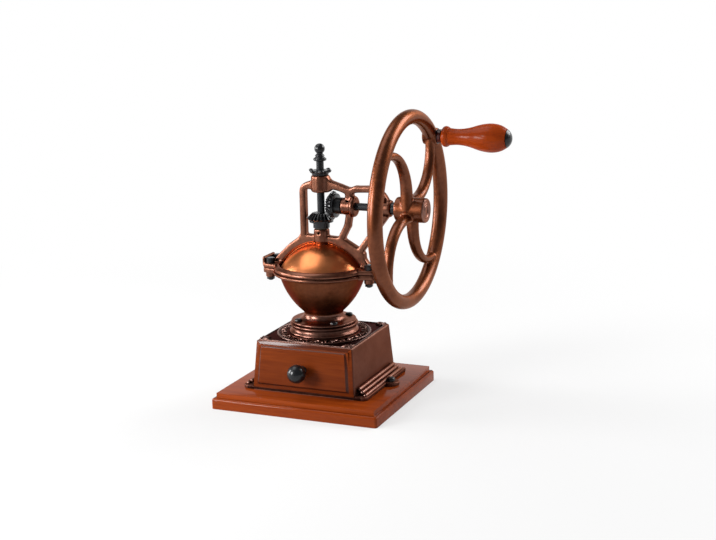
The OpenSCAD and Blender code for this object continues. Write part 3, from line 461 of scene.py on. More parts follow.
def varnished(name, light, mid, dark, along="X", gloss=0.3, shift=(0, 0, 0), contrast=1.0,
        soft=0.09):
    """Varnished hardwood with its grain along one axis."""
    f = Finish(name)
    long = {"X": (0.06, 1, 1), "Y": (1, 0.06, 1), "Z": (1, 1, 0.06)}[along]
    pore = {"X": (0.035, 1, 1), "Y": (1, 0.035, 1), "Z": (1, 1, 0.035)}[along]
    flow = f.cloud(34, 3, 0.5, f.place(long, shift=shift))
    bands = f.cloud(5.5, 4, 0.55, f.place(long, shift=shift), 0.6)
    pores = f.cloud(0.5, 2, 0.5, f.place(pore, shift=shift))
    streaks = f.cloud(1.6, 3, 0.6, f.place(long, shift=shift))
    tone = f.blend((bands * 0.6 + streaks * 0.4).step(0.3, 0.72), light, mid)
    tone = f.blend(flow.step(0.4, 0.75) * (0.35 * contrast), tone, dark)
    tone = f.blend(pores.step(0.55, 0.74) * (0.3 * contrast), tone, dark)
    f.set(Base_Color=tone, Roughness=0.5 + streaks * 0.1, Coat_Weight=gloss,
        Coat_Roughness=soft, Coat_IOR=1.33, Specular_IOR_Level=0.0,
        Normal=f.relief(1 - pores.step(0.5, 0.75), 0.003))
    return f.material


def raw_wood(name, light, dark, along="X"):
    """Planed, unvarnished boards of the drawer's box."""
    f = Finish(name)
    long = {"X": (0.05, 1, 1), "Y": (1, 0.05, 1), "Z": (1, 1, 0.05)}[along]
    streaks = f.cloud(2.6, 4, 0.6, f.place(long))
    pores = f.cloud(0.5, 2, 0.5, f.place(long))
    tone = f.blend(streaks.step(0.3, 0.7), light, dark)
    tone = f.blend(pores.step(0.55, 0.75) * 0.35, tone, tuple(0.5 * c for c in dark))
    f.set(Base_Color=tone, Roughness=0.6 + streaks * 0.15, Normal=f.relief(1 - pores, 0.03))
    return f.material


def lacquered(name, tone=(0.005, 0.0055, 0.007), rough=0.3, coat=0.5):
    """Black gloss finish on small iron parts."""
    f = Finish(name)
    dust = f.cloud(5, 4, 0.6)
    fine = f.cloud(0.6, 2, 0.5)
    f.set(Base_Color=f.blend(dust.step(0.5, 0.8) * 0.4, tone, tuple(3 * c for c in tone)),
        Metallic=0.0, Specular_IOR_Level=0.2, Roughness=rough + dust * 0.14,
        Coat_Weight=coat, Coat_Roughness=0.09, Coat_IOR=1.4, Normal=f.relief(fine, 0.006))
    return f.material


def machined(name, tone, rough, brush=0.005):
    """Bare turned or ground metal."""
    f = Finish(name)
    fine = f.cloud(0.4, 3, 0.6)
    stain = f.cloud(6, 3, 0.6)
    f.set(Base_Color=f.blend(stain.step(0.4, 0.75) * 0.5, tone, tuple(0.6 * c for c in tone)),
        Metallic=1.0, Roughness=rough + stain * 0.15, Normal=f.relief(fine, brush))
    return f.material


COPPER_CAST = coppered("antique copper casting", (0.11, 0.040, 0.024), (0.20, 0.080, 0.048), 0.34,
    rim=(0.9, 0.55, 0.45))
COPPER_BOWL = coppered("matt copper bowl", (0.10, 0.030, 0.013), (0.17, 0.056, 0.025), 0.42, 0.02,
    0.05, (0.6, 0.3, 0.2))
# Painted highlight: a lighter, pinker copper than the bowl's body, on the bowl's flange and neck and on
# the seat's upper skirt.
COPPER_PAINTED_HIGHLIGHT = coppered("copper flange with painted highlight", (0.11, 0.046, 0.033), (0.19, 0.088, 0.064), 0.3, 0.015,
    0.15, (0.8, 0.5, 0.42))
COPPER_WALL = coppered("browned copper wall", (0.105, 0.040, 0.026), (0.155, 0.064, 0.045), 0.5,
    0.03, 0.08, (0.65, 0.4, 0.34))
# Painted shade: dark copper for the seat, the ring round it and the foot's front strip, which lie in
# shadow.
COPPER_PAINTED_SHADE = coppered("copper with painted shade", (0.022, 0.008, 0.006), (0.060, 0.021, 0.014), 0.4, 0.03,
    0.05, (0.45, 0.26, 0.22))
# Lighter copper on the housing's top edges, the foot ridges and the wheel's hub face: partly wear,
# partly painted highlight.
COPPER_WORN_AND_HIGHLIT = coppered("worn copper edges with painted highlight", (0.17, 0.082, 0.062), (0.27, 0.145, 0.115), 0.36, 0.003)
COPPER_RELIEF = relieved("antique copper relief", (0.032, 0.014, 0.011), (0.14, 0.062, 0.046),
    (0.40, 0.23, 0.18), HOUSE_TOP + 0.4, HOUSE_TOP + 1.6)
COPPER_WHEEL = coppered("antique copper wheel", (0.105, 0.028, 0.010), (0.18, 0.054, 0.022), 0.42,
    lacquer=0.28, rim=(0.9, 0.55, 0.42))
COPPER_SHEET = burnished("burnished copper sheet", 122, 128)
PLINTH_WOOD = varnished("plinth wood", (0.265, 0.045, 0.005), (0.185, 0.028, 0.004),
    (0.10, 0.012, 0.003), gloss=0.5)
DRAWER_WOOD = varnished("drawer wood", (0.19, 0.036, 0.007), (0.118, 0.021, 0.0045),
    (0.050, 0.008, 0.003), gloss=0.22, shift=(40, 7, 3), soft=0.2)
# Painted shade: darker wood on the sloped bevel round the drawer's raised field; its glossier coat is
# real.
DRAWER_BEVEL_SHADE = varnished("drawer bevel with painted shade", (0.09, 0.018, 0.006), (0.055, 0.010, 0.004),
    (0.030, 0.006, 0.003), gloss=1.0, shift=(40, 7, 3), soft=0.16)
GRIP_WOOD = varnished("grip wood", (0.36, 0.050, 0.006), (0.29, 0.036, 0.0045),
    (0.17, 0.018, 0.003), gloss=0.45, shift=(9, 31, 5), contrast=0.4, soft=0.22)
RED_LACQUER = lacquered("red lacquer", (0.05, 0.008, 0.006))
BOX_WOOD = raw_wood("drawer box wood", (0.52, 0.34, 0.19), (0.40, 0.24, 0.12), "Y")
BLACK_IRON = lacquered("black iron")
BLACK_SHAFT = lacquered("black shaft", (0.008, 0.009, 0.011), 0.3, 0.4)
STEEL = machined("burr steel", (0.42, 0.41, 0.40), 0.3)
DARK_WASHER = machined("browned washer", (0.10, 0.075, 0.05), 0.35)


# Plinth and housing


def plinth():
    """Board with a ledge round its raised middle."""
    board = block((-80, -73.5, 0), (80, 73.5, PLINTH_TOP - 4.3))
    open_mesh(board)
    pick(board, lambda face, middle: face.normal.z > 0.9)
    bpy.ops.mesh.inset(thickness=3.8 * MM)
    bpy.ops.mesh.extrude_region_move(TRANSFORM_OT_translate={"value": (0, 0, 4.3 * MM)})
    bpy.ops.mesh.select_mode(type="EDGE")
    pick(board, lambda edge, middle: near(abs(middle.x), 80) and near(abs(middle.y), 73.5))
    bpy.ops.mesh.bevel(offset=2.6 * MM, segments=5, affect="EDGES")
    ledge = PLINTH_TOP - 4.3
    pick(board, lambda edge, middle: near(middle.z, ledge) and any(abs(face.normal.z) < 0.1
        and face.calc_center_median().z < ledge * MM for face in edge.link_faces))
    bpy.ops.mesh.bevel(offset=2.3 * MM, segments=6, affect="EDGES")
    close_mesh()
    rounded(board, 0.7, 3)
    return settle(board, "plinth_board", "stand", ["plinth"], PLINTH_WOOD)


def tapered(low_z, high_z, inset, front=0):
    """A block that follows the housing's slope, smaller by the inset at its sides."""
    low = (house_half_width(low_z) - inset, house_half_depth(low_z) - inset)
    high = (house_half_width(high_z) - inset, house_half_depth(high_z) - inset)
    piece = block((-low[0], -low[1] - front, low_z), (low[0], low[1], high_z))
    open_mesh(piece, "VERT")
    pick(piece, lambda vert, middle: near(middle.z, high_z))
    bpy.ops.transform.resize(value=(high[0] / low[0], high[1] / low[1], 1),
        center_override=(0, 0, high_z * MM))
    close_mesh()
    return piece


def leaf(length, width, height, place, turn):
    """One small raised leaf that lies on the housing's top."""
    bpy.ops.object.select_all(action="DESELECT")
    bpy.ops.mesh.primitive_uv_sphere_add(segments=12, ring_count=8, radius=MM / 2,
        scale=(length, width, height))
    piece = placed(bpy.context.object)
    open_mesh(piece, "VERT")
    pick(piece, lambda vert, middle: middle.x > length * 0.2)
    bpy.ops.transform.resize(value=(1, 0.55, 0.8), center_override=(0, 0, 0))
    close_mesh()
    piece.data.transform(Matrix.Translation(Vector(place) * MM)
        @ Matrix.Rotation(math.radians(turn), 4, "Z"))
    return piece


def scroll(place, turn, size, thick, flip=1):
    """One C-shaped scroll: a bent round wire that ends in a bead."""
    bpy.ops.object.select_all(action="DESELECT")
    bpy.ops.mesh.primitive_circle_add(vertices=8, radius=thick * MM, fill_type="NGON",
        location=(size * MM, 0, 0), rotation=(math.radians(90), 0, 0))
    piece = placed(bpy.context.object)
    open_mesh(piece)
    bpy.ops.mesh.select_all(action="SELECT")
    swept(12, 250 * flip, (0, 0, 0), UP)
    close_mesh()
    tidy_mesh(piece)
    end = Matrix.Rotation(math.radians(250 * flip), 4, "Z") @ Vector((size * 0.75, 0, 0))
    bead = leaf(thick * 3, thick * 3, thick * 2.4, end, 0)
    piece = joined(piece, bead)
    piece.data.transform(Matrix.Translation(Vector(place) * MM)
        @ Matrix.Rotation(math.radians(turn), 4, "Z"))
    return piece


def raised_ring(radius, thick, z):
    bpy.ops.object.select_all(action="DESELECT")
    bpy.ops.mesh.primitive_torus_add(major_radius=radius * MM, minor_radius=thick * MM,
        major_segments=128, minor_segments=12, location=(0, 0, z * MM))
    return placed(bpy.context.object)


def round_the_middle(radius, angle, z):
    turn = math.radians(angle)
    return Vector((radius * math.cos(turn), radius * math.sin(turn), z))


def housing_top_relief():
    """Rings, scrolls and leaves cast on the housing's top, and a border along its edges."""
    # The thick ring at 32.6 mm round the seat carries the painted-shade finish.
    parts = [raised_ring(42.2, 1.0, HOUSE_TOP + 0.3), raised_ring(40.6, 0.45, HOUSE_TOP + 0.2),
        raised_ring(32.6, 1.7, HOUSE_TOP + 0.6)]
    count = 14
    for i in range(count):
        angle = 360 * i / count
        half = angle + 180 / count
        parts.append(scroll(round_the_middle(37.3, angle, HOUSE_TOP + 0.7), angle + 60, 3.0, 0.75))
        parts.append(leaf(3.0, 3.0, 2.6, round_the_middle(37.3, angle, HOUSE_TOP + 0.4), angle))
        parts.append(leaf(8.4, 2.8, 2.8, round_the_middle(36.6, half, HOUSE_TOP + 0.4), half))
        for side in (-1, 1):
            place = round_the_middle(38.4, half + side * 5.2, HOUSE_TOP + 0.3)
            parts.append(leaf(5.0, 1.8, 2.2, place, half - side * 32))
    for sx in (-1, 1):
        for sy in (-1, 1):
            corner = Vector((sx * 43.2, sy * 41.4, HOUSE_TOP + 0.3))
            inward = math.degrees(math.atan2(-sy, -sx))
            for k in (-2, -1, 0, 1, 2):
                turn = inward + 27 * k
                reach = Vector((math.cos(math.radians(turn)), math.sin(math.radians(turn)), 0))
                length = 8.8 - abs(k) * 0.2
                parts.append(leaf(length, 2.5, 2.6, corner + reach * (length / 2 + 0.4), turn))
            parts.append(leaf(3.6, 3.6, 3, corner, 0))
    wide, deep = house_half_width(HOUSE_TOP) - 1.9, house_half_depth(HOUSE_TOP) - 1.9
    for side in (-1, 1):
        parts.append(rod((-wide, side * deep, HOUSE_TOP), WHEEL_SIDE, 2 * wide, 0.6, 16))
        parts.append(rod((side * wide, deep, HOUSE_TOP), FRONT, 2 * deep, 0.6, 16))
    return joined(*parts)


def foot_ridge(x, z, radius, half_length):
    """One long half-round ridge beside the housing, with rounded ends."""
    profile = round_corner((0, radius), radius, -90, 0) + round_corner(
        (0, 2 * half_length - radius), radius, 0, 90)
    return turned(profile, (x, half_length, z), FRONT, 20)


def housing():
    """Sloping casting with its foot, ridges, ears, seat and the relief on its top."""
    body = tapered(PLINTH_TOP, HOUSE_TOP, 0)
    open_mesh(body, "EDGE")
    pick(body, lambda edge, middle: not near(middle.z, PLINTH_TOP))
    bpy.ops.mesh.bevel(offset=1.3 * MM, segments=4, affect="EDGES")
    close_mesh()
    carved(body, tapered(FOOT_TOP, HOUSE_TOP - 2.6, 2.6, front=20))
    carved(body, block((-35, -33.6, 0), (35, 33.6, 30)))
    foot = block((-60.5, -48.65, PLINTH_TOP), (60.5, 48.65, FOOT_TOP))
    open_mesh(foot, "EDGE")
    pick(foot, lambda edge, middle: near(middle.z, (PLINTH_TOP + FOOT_TOP) / 2) and middle.y < 0)
    bpy.ops.mesh.bevel(offset=5 * MM, segments=6, affect="EDGES")
    close_mesh()
    carved(foot, block((-35, -33.6, 0), (35, 33.6, 30)))
    rounded(foot, 0.7)
    parts = [body, foot]
    for side in (-1, 1):
        for x, z, half in ((57.4, 17.7, 44.5), (54.1, 19.9, 43.5), (51.1, 22.2, 42.5)):
            parts.append(foot_ridge(side * x, z, 1.75, half))
        ear = turned([(2.1, 0), (8, 0), (8, 2.4)] + round_corner((7.1, 2.4), 0.9, 0, 90, 4)
            + [(2.1, 3.3), (2.1, 0)], (side * 62, 6, PLINTH_TOP), sides=48)
        parts.append(ear)
    seat = turned([(16, -1), (31.6, -1)] + curve_points([(31.6, 2.3), (31.3, 3.1), (30.3, 4.0),
        (29.5, 5.0), (29.2, 6.15)], 4) + [(16, 6.15), (16, -1)], (0, 0, HOUSE_TOP), sides=128)
    piece = joined(*parts, seat, housing_top_relief())
    settle(piece, "housing_casting", "stand", ["housing"],
        [COPPER_WALL, COPPER_RELIEF, COPPER_PAINTED_SHADE, COPPER_WORN_AND_HIGHLIT, COPPER_PAINTED_HIGHLIGHT], 40)
    for face in piece.data.polygons:
        x, y, z = face.center / MM
        from_middle = math.hypot(x, y)
        if z > HOUSE_TOP - 1.4:
            tilt = face.normal.z
            edge = max(abs(x) - house_half_width(HOUSE_TOP), abs(y) - house_half_depth(HOUSE_TOP)) > -1.4
            if from_middle < 34.4:
                # Painted shade (index 2) on the seat and the ring round it; lighter copper as painted
                # highlight (index 4) on the seat's upper skirt.
                face.material_index = 4 if from_middle < 31.7 and z > HOUSE_TOP + 2.2 else 2
            elif edge and 0.15 < tilt < 0.97:
                # Bevelled top edges: lighter copper, partly wear, partly painted highlight.
                face.material_index = 3
            elif z > HOUSE_TOP - 0.4:
                face.material_index = 1
        elif z < 25 and abs(x) > house_half_width(z) + 0.3:
            # Ridges above the foot: lighter copper, partly wear, partly painted highlight; the ears keep
            # the wall's finish.
            face.material_index = 3 if z > FOOT_TOP + 0.2 else 0
        elif z < FOOT_TOP + 0.2 and y < -48:
            # Painted shade on the foot's front strip under the drawer.
            face.material_index = 2
    return piece


def slotted_head(place, radius, height, shank_r, shank_l):
    """A domed screw with a slot across its head."""
    screw = turned([(0, -shank_l), (shank_r, -shank_l), (shank_r, 0), (radius, 0)]
        + curve_points([(radius, 0.5), (radius * 0.88, height * 0.75), (radius * 0.5, height * 0.97),
            (0, height)], 3), place, sides=40)
    slot = block((-radius * 1.2, -0.45, height * 0.62), (radius * 1.2, 0.45, height * 1.5))
    slot.data.transform(Matrix.Translation(Vector(place) * MM)
        @ Matrix.Rotation(math.radians(30), 4, "Z"))
    return carved(screw, slot)


def foot_bolts():
    bolts = [slotted_head((side * 62, 6, FOOT_TOP), 4, 3.6, 1.95, 12) for side in (-1, 1)]
    return settle(joined(*bolts), "foot_bolt_pair", "stand", ["foot_bolts"], BLACK_IRON)


# Bowl, bridge and dome


def bowl_side(offset, low, high, steps=16):
    """The bowl's arc, inside or outside, between two heights."""
    centre, radius = (-24.94, 130.21), 66 - offset
    start = math.degrees(math.asin((low - centre[1]) / radius))
    end = math.degrees(math.asin((high - centre[1]) / radius))
    return round_corner(centre, radius, start, end, steps)


def clamp_lug(z, height, inner):
    """The ear that a pair of clamp bolts goes through, on the right side."""
    lug = block((inner, -12.4, z), (EAR_END, 12.4, z + height))
    open_mesh(lug, "EDGE")
    pick(lug, lambda edge, middle: near(middle.x, EAR_END) and near(middle.z, z + height / 2))
    bpy.ops.mesh.bevel(offset=4.4 * MM, segments=8, affect="EDGES")
    bpy.ops.mesh.select_mode(type="VERT")
    pick(lug, lambda vert, middle: middle.x < inner + 1)
    bpy.ops.transform.resize(value=(1, 1.22, 1), center_override=(0, 0, 0))
    close_mesh()
    return lug


def bowl():
    """Hopper, neck and foot flange in one casting, with its clamp ears."""
    flange = [(29.2, 66.05), (29.1, 66.8), (29.4, 67.4)] + round_corner((29.7, 68.8), 1.3, -90, 90, 8)
    flange += [(28.3, 70.3)]
    bead = round_corner((28.5, 71.55), 1.1, -80, 90, 8)
    neck = round_corner((24.2, 79), 6.3, 270, 180, 10)
    rim = [(40.2, 115.4)] + round_corner((43.5, 116.75), 1.3, -90, 90, 8) + [(41.0, RIM_TOP - 0.1)]
    profile = ([(15, 66.05)] + flange + bead + neck + bowl_side(0, 80.3, 114.6) + rim
        + bowl_side(2.6, RIM_TOP - 0.1, 81.5)
        + [(13.4, 81.5), (13.4, 79), (15, 79), (15, 66.05)])
    body = turned(profile, sides=160)
    for sx in (-1, 1):
        for sy in (-1, 1):
            carved(body, rod((sx * SCREW_REACH, sy * SCREW_REACH, FLANGE_TOP - 0.05), UP, 6.3, 3.5))
    lug = clamp_lug(RIM_TOP - 4.6, 4.5, 40)
    rounded(lug, 0.8)
    lugs = ringed(lug, 2)
    for side in (-1, 1):
        for part in (-1, 1):
            carved(lugs, rod((side * CLAMP_X, part * 8, 90), UP, 40, 2.1, 24))
    stub = turned([(2.1, -8.5), (3.8, -8.5), (4.4, -7.9), (4.4, -3.5), (2.1, -3.5), (2.1, -8.5)],
        (0, 0, RIM_TOP), sides=48)
    stubs = [copied(stub, (side * CLAMP_X, part * 8, 0)) for side in (-1, 1) for part in (-1, 1)]
    bpy.data.objects.remove(stub)
    piece = joined(body, lugs, *stubs)
    settle(piece, "bowl_casting", "stand", ["bowl"], [COPPER_BOWL, COPPER_PAINTED_HIGHLIGHT, COPPER_CAST],
        40)
    for face in piece.data.polygons:
        x, y, z = face.center / MM
        if z < 79.6:
            # Flange and neck: lighter copper as painted highlight.
            face.material_index = 1
        elif math.hypot(x, y) > 43.2 or z > 115.2:
            face.material_index = 2
    return piece


def flange_screws():
    screws = [slotted_head((sx * SCREW_REACH, sy * SCREW_REACH, FLANGE_TOP), 3.4, 2.2, 1.65, 8)
        for sx in (-1, 1) for sy in (-1, 1)]
    return settle(joined(*screws), "flange_screw_set", "stand", ["flange_screws"], BLACK_IRON)


def bridge():
    """The bridge's solid and a lip round the dome, melted so that the bars flow into the bosses."""
    lip = turned([(39.7, 121.0), (42.6, 121.0), (42.2, 122.0), (40.6, 123.1), (39.3, 123.5),
        (38.7, 123.3), (39.1, 122.2), (39.7, 121.0)], sides=128)
    piece = fine_cast(joined(eased("bridge", 0), lip), 0.42, 60)
    with_modifier(piece, "DISPLACE", strength=0.5 * MM, mid_level=0)
    for x, length in ((20, 16), (55, 16)):
        carved(piece, rod((x, 0, AXIS_Z), WHEEL_SIDE, length, SHAFT_R + 0.06, 48))
    for z, length in ((138, 19), (188, 18)):
        carved(piece, rod((0, 0, z), UP, length, SHAFT_R + 0.06, 48))
    for start, up in (((27.65, 0, AXIS_Z), 45), ((62.5, 0, AXIS_Z), 60), ((0, 0, 152.5), 0)):
        tilt = Vector((0, -math.cos(math.radians(up)), math.sin(math.radians(up))))
        carved(piece, rod(start, tilt, 12, 1.25, 24))
    return settle(piece, "bridge_casting", "stand", ["bridge"], COPPER_CAST, 0)


def hexagon(place, radius, height, dome=0.5):
    """A hexagon head with its upper corners turned off."""
    head = rod(place, UP, height, radius, 6)
    rounded(head, 0.25, 2)
    cutter = turned([(0, -1), (radius + 3, -1), (radius + 3, height + 2), (0, height + 2)], place)
    inner = turned([(0, -2), (radius * 1.05, -2), (radius * 1.05, height - dome * 1.6)]
        + curve_points([(radius * 0.98, height - dome), (radius * 0.8, height - dome * 0.3),
            (radius * 0.55, height), (0, height)], 3), place)
    carved(cutter, inner)
    return carved(head, cutter)


def clamp_bolts():
    bolts, nuts = [], []
    bolt = joined(hexagon((CLAMP_X, 8, EAR_TOP), 4.1, 5.3),
        rod((CLAMP_X, 8, 106.85), UP, 16, 1.95, 24))
    nut = hexagon((CLAMP_X, 8, 107.6), 3.7, 2.4)
    for sx in (0, 2 * CLAMP_X):
        for sy in (0, 16):
            bolts.append(copied(bolt, (-sx, -sy, 0)))
            nuts.append(copied(nut, (-sx, -sy, 0)))
    bpy.data.objects.remove(bolt)
    bpy.data.objects.remove(nut)
    settle(joined(*bolts), "clamp_bolt_set", "stand", ["clamp_bolts"], BLACK_IRON)
    settle(joined(*nuts), "clamp_nut_set", "stand", ["clamp_nuts"], BLACK_IRON)


def dome_part(radius, low_z, hole, cut_y, keep_front):
    """Half of a spherical sheet: turned, sawn at a plane and given its thickness inwards."""
    low = math.degrees(math.asin((low_z - DOME_Z) / radius))
    high = math.degrees(math.acos(hole / radius))
    piece = turned(round_corner((0, DOME_Z), radius, low, high, 40), sides=192)
    open_mesh(piece)
    bpy.ops.mesh.select_all(action="SELECT")
    bpy.ops.mesh.bisect(plane_co=(0, cut_y * MM, 0), plane_no=(0, 1, 0),
        clear_outer=keep_front, clear_inner=not keep_front)
    bpy.ops.mesh.select_all(action="SELECT")
    bpy.ops.mesh.normals_make_consistent(inside=False)
    close_mesh()
    outward = sum(1 if p.normal.dot(p.center - Vector((0, 0, DOME_Z * MM))) > 0 else -1
        for p in piece.data.polygons)
    with_modifier(piece, "SOLIDIFY", thickness=0.9 * MM, offset=-1 if outward > 0 else 1,
        use_even_offset=True)
    return piece


def dome():
    shell = dome_part(44.2, 119.75, 5.5, 3, True)
    settle(shell, "front_dome", "stand", ["front_shell"], COPPER_SHEET, 40)
    lid = dome_part(45.5, 120.0, 5.6, -1, False)
    rounded(lid, 0.25)
    settle(lid, "rear_dome", "lid", ["lid"], COPPER_SHEET, 40)


def lid_knob():
    """Small turned knob on the lid's back."""
    lean = Matrix.Rotation(math.radians(140), 3, "Z") @ Matrix.Rotation(math.radians(48), 3, "Y")
    along = lean @ UP
    foot = Vector((0, 0, DOME_Z)) + along * 45.5
    profile = ([(0, -1.9), (1.2, -1.9), (1.2, -0.05), (2.3, 0), (2.3, 0.5), (1.6, 1.1), (1.5, 2.6)]
        + round_corner((0, 6.2), 3.2, -62, 90, 14))
    piece = turned(profile, foot, along, 40)
    return settle(piece, "lid_button", "lid", ["lid_knob"], BLACK_IRON)


# Spindle, gears and adjuster


def spindle():
    top = FINIAL_Z + 4
    profile = [(0, 61), (2.9, 61), (SHAFT_R, 61.5), (SHAFT_R, top), (0, top)]
    piece = turned(profile, sides=48)
    return settle(piece, "spindle_bar", "spindle", ["spindle"], BLACK_SHAFT)


def gears():
    for node, body in (("spindle_gear", "spindle"), ("shaft_gear", "wheel")):
        piece = eased(node, 0.16, 2, 25)
        settle(piece, node + "_cut", body, [node], BLACK_IRON, 30)


def adjusting_nut():
    """Cup-shaped nut with six upturned lobes."""
    hub = turned([(3.5, 0), (7.0, 0), (7.6, 0.6), (7.6, 2.2), (8.4, 3.2), (8.4, 4.2), (6.6, 4.7),
        (4.6, 4.4), (3.5, 4.2), (3.5, 0)], (0, 0, NUT_Z), sides=64)
    bpy.ops.object.select_all(action="DESELECT")
    bpy.ops.mesh.primitive_uv_sphere_add(segments=24, ring_count=16, radius=MM,
        scale=(2.1, 2.5, 1.6), location=(8.75 * MM, 0, (NUT_Z + 3.95) * MM),
        rotation=(0, math.radians(-20), 0))
    lobes = ringed(placed(bpy.context.object), 6)
    piece = fine_cast(joined(hub, lobes), 0.28, 5)
    return settle(piece, "lobed_nut", "adjuster", ["adjusting_nut"], BLACK_IRON, 0)


def finial():
    """Ball, neck and collar in one turning."""
    z = FINIAL_Z
    profile = curve_points([(3.9, z), (5.4, z + 0.5), (5.9, z + 1.4), (5.8, z + 2.3), (4.6, z + 3.2),
        (3.9, z + 4.0), (4.3, z + 4.9), (3.6, z + 5.8), (2.8, z + 6.5)], 4)
    ball = round_corner((0, z + 11), 4.7, -52, 90, 16)
    piece = turned([(0, z)] + profile + ball, sides=64)
    return settle(piece, "ball_finial", "spindle", ["finial"], BLACK_IRON)


# Crank shaft, wheel and grip


def shaft():
    profile = [(0, 6.2), (2.8, 6.2), (SHAFT_R, 6.8), (SHAFT_R, 96.3), (2.8, 96.9), (0, 96.9)]
    piece = turned(profile, (0, 0, AXIS_Z), WHEEL_SIDE, 48)
    settle(piece, "crank_shaft", "wheel", ["shaft"], BLACK_SHAFT)
    collar = turned([(SHAFT_R, 68.35), (5.2, 68.35), (5.6, 68.8), (5.6, 72.5), (5.2, 72.95),
        (SHAFT_R, 72.95), (SHAFT_R, 68.35)], (0, 0, AXIS_Z), WHEEL_SIDE, 48)
    settle(collar, "shaft_collar", "wheel", ["shaft_spacer"], BLACK_SHAFT)


def in_wheel(y, z, x=WHEEL_X):
    """A place in the wheel's plane, from the shaft's axis."""
    return Vector((x, y, AXIS_Z + z))


def spoke():
    """One curved spoke: an oval beside the hub, pulled out, bent round and thinned to the rim."""
    bpy.ops.object.select_all(action="DESELECT")
    bpy.ops.mesh.primitive_circle_add(vertices=24, radius=4.5 * MM, fill_type="NGON",
        location=in_wheel(0, 7) * MM, rotation=(math.radians(90), 0, 0))
    piece = placed(bpy.context.object)
    open_mesh(piece)
    bpy.ops.mesh.select_all(action="SELECT")
    bpy.ops.transform.resize(value=(5.6 / 4.5, 1, 1), center_override=in_wheel(0, 7) * MM)
    bpy.ops.mesh.extrude_region_move(TRANSFORM_OT_translate={"value": (0, 13.2 * MM, 0)})
    for i in range(1, 13):
        swept(3, 7.5, in_wheel(13.2, 47), WHEEL_SIDE)
        bend = math.radians(7.5 * i)
        middle = in_wheel(13.2 + 40 * math.sin(bend), 47 - 40 * math.cos(bend))
        bpy.ops.transform.resize(value=(0.98, 0.98, 0.98), center_override=middle * MM)
    bpy.ops.mesh.extrude_region_move(TRANSFORM_OT_translate={"value": (0, 0, 13.5 * MM)})
    close_mesh()
    return tidy_mesh(piece)


def flywheel():
    """Rim, four curved spokes, hub and grip boss melted into one casting."""
    bpy.ops.object.select_all(action="DESELECT")
    bpy.ops.mesh.primitive_torus_add(major_radius=WHEEL_R * MM, minor_radius=6.6 * MM,
        major_segments=160, minor_segments=32, location=in_wheel(0, 0) * MM,
        rotation=(0, math.radians(90), 0))
    rim = placed(bpy.context.object)
    spokes = ringed(spoke(), 4, axis="X", about=in_wheel(0, 0))
    hub = turned([(0, 73), (10.1, 73), (10.9, 73.8), (10.9, 99.6), (10.5, 100.6), (9.9, HUB_END),
        (8.7, HUB_END), (7.9, 100.2), (0, 100.2)], (0, 0, AXIS_Z), WHEEL_SIDE)
    boss = turned([(0, 0), (7.6, 0), (7.6, 12.7), (6.9, 13.4), (0, 13.4)],
        (78.1, GRIP.y, GRIP.z), WHEEL_SIDE, 48)
    piece = fine_cast(joined(rim, spokes, hub, boss), 0.68, 8)
    face = turned([(3.2, 100.0)] + curve_points([(3.4, 100.6), (4.0, 100.85), (4.6, 100.6),
        (5.2, 100.25), (5.8, 100.6), (6.4, 100.8), (7.0, 100.6), (7.6, 100.1)], 3)
        + [(7.6, 99.6), (3.2, 99.6), (3.2, 100.0)], (0, 0, AXIS_Z), WHEEL_SIDE, 64)
    piece = joined(piece, face)
    settle(piece, "wheel_casting", "wheel", ["flywheel"], [COPPER_WHEEL, BLACK_IRON, COPPER_WORN_AND_HIGHLIT],
        0)
    for side in piece.data.polygons:
        x, y, z = side.center / MM
        if x > 91.2 and math.hypot(y - GRIP.y, z - GRIP.z) < 9:
            side.material_index = 1
        elif x > 99.4 and math.hypot(y, z - AXIS_Z) < 12:
            # The hub's end face: lighter copper, partly wear, partly painted highlight.
            side.material_index = 2
    return piece


def grip():
    """Turned wooden grip with its washer and domed cap."""
    x = GRIP_X
    near_end = curve_points([(6.2, 0), (8.6, 1.3), (9.4, 3.4), (8.9, 5.4), (7.8, 7), (7.5, 9.5),
        (7.2, 14), (7.6, 20), (8.9, 26.5), (10.9, 33), (12.2, 38.5), (12.85, 43.5), (12.85, 47.5),
        (12.3, 51.5), (11.2, 55), (9.6, 58), (8.3, 60.05)], 5)
    profile = [(3.05, 0)] + near_end + [(3.05, 60.05), (3.05, 0)]
    piece = turned(profile, (x, GRIP.y, GRIP.z), WHEEL_SIDE, 96)
    settle(piece, "turned_grip", "grip", ["grip"], GRIP_WOOD, 50)
    washer = turned([(3.02, 0), (6, 0), (6.4, 0.4), (6.4, 3), (6, 3.4), (3.02, 3.4), (3.02, 0)],
        (91.55, GRIP.y, GRIP.z), WHEEL_SIDE, 48)
    settle(washer, "grip_collar", "wheel", ["grip_washer"], RED_LACQUER)
    dome = (8.2 ** 2 + 4.2 ** 2) / (2 * 4.2)
    reach = math.degrees(math.asin(8.2 / dome))
    cap = turned([(3.02, 0), (7.8, 0)] + round_corner((0, 4.2 - dome), dome, 90 - reach + 2, 90, 14)
        + [(0, 1.5), (3.02, 1.5), (3.02, 0)], (GRIP_END + 0.3, GRIP.y, GRIP.z), WHEEL_SIDE, 64)
    settle(cap, "grip_end_cap", "wheel", ["grip_cap"], BLACK_IRON)


# Drawer


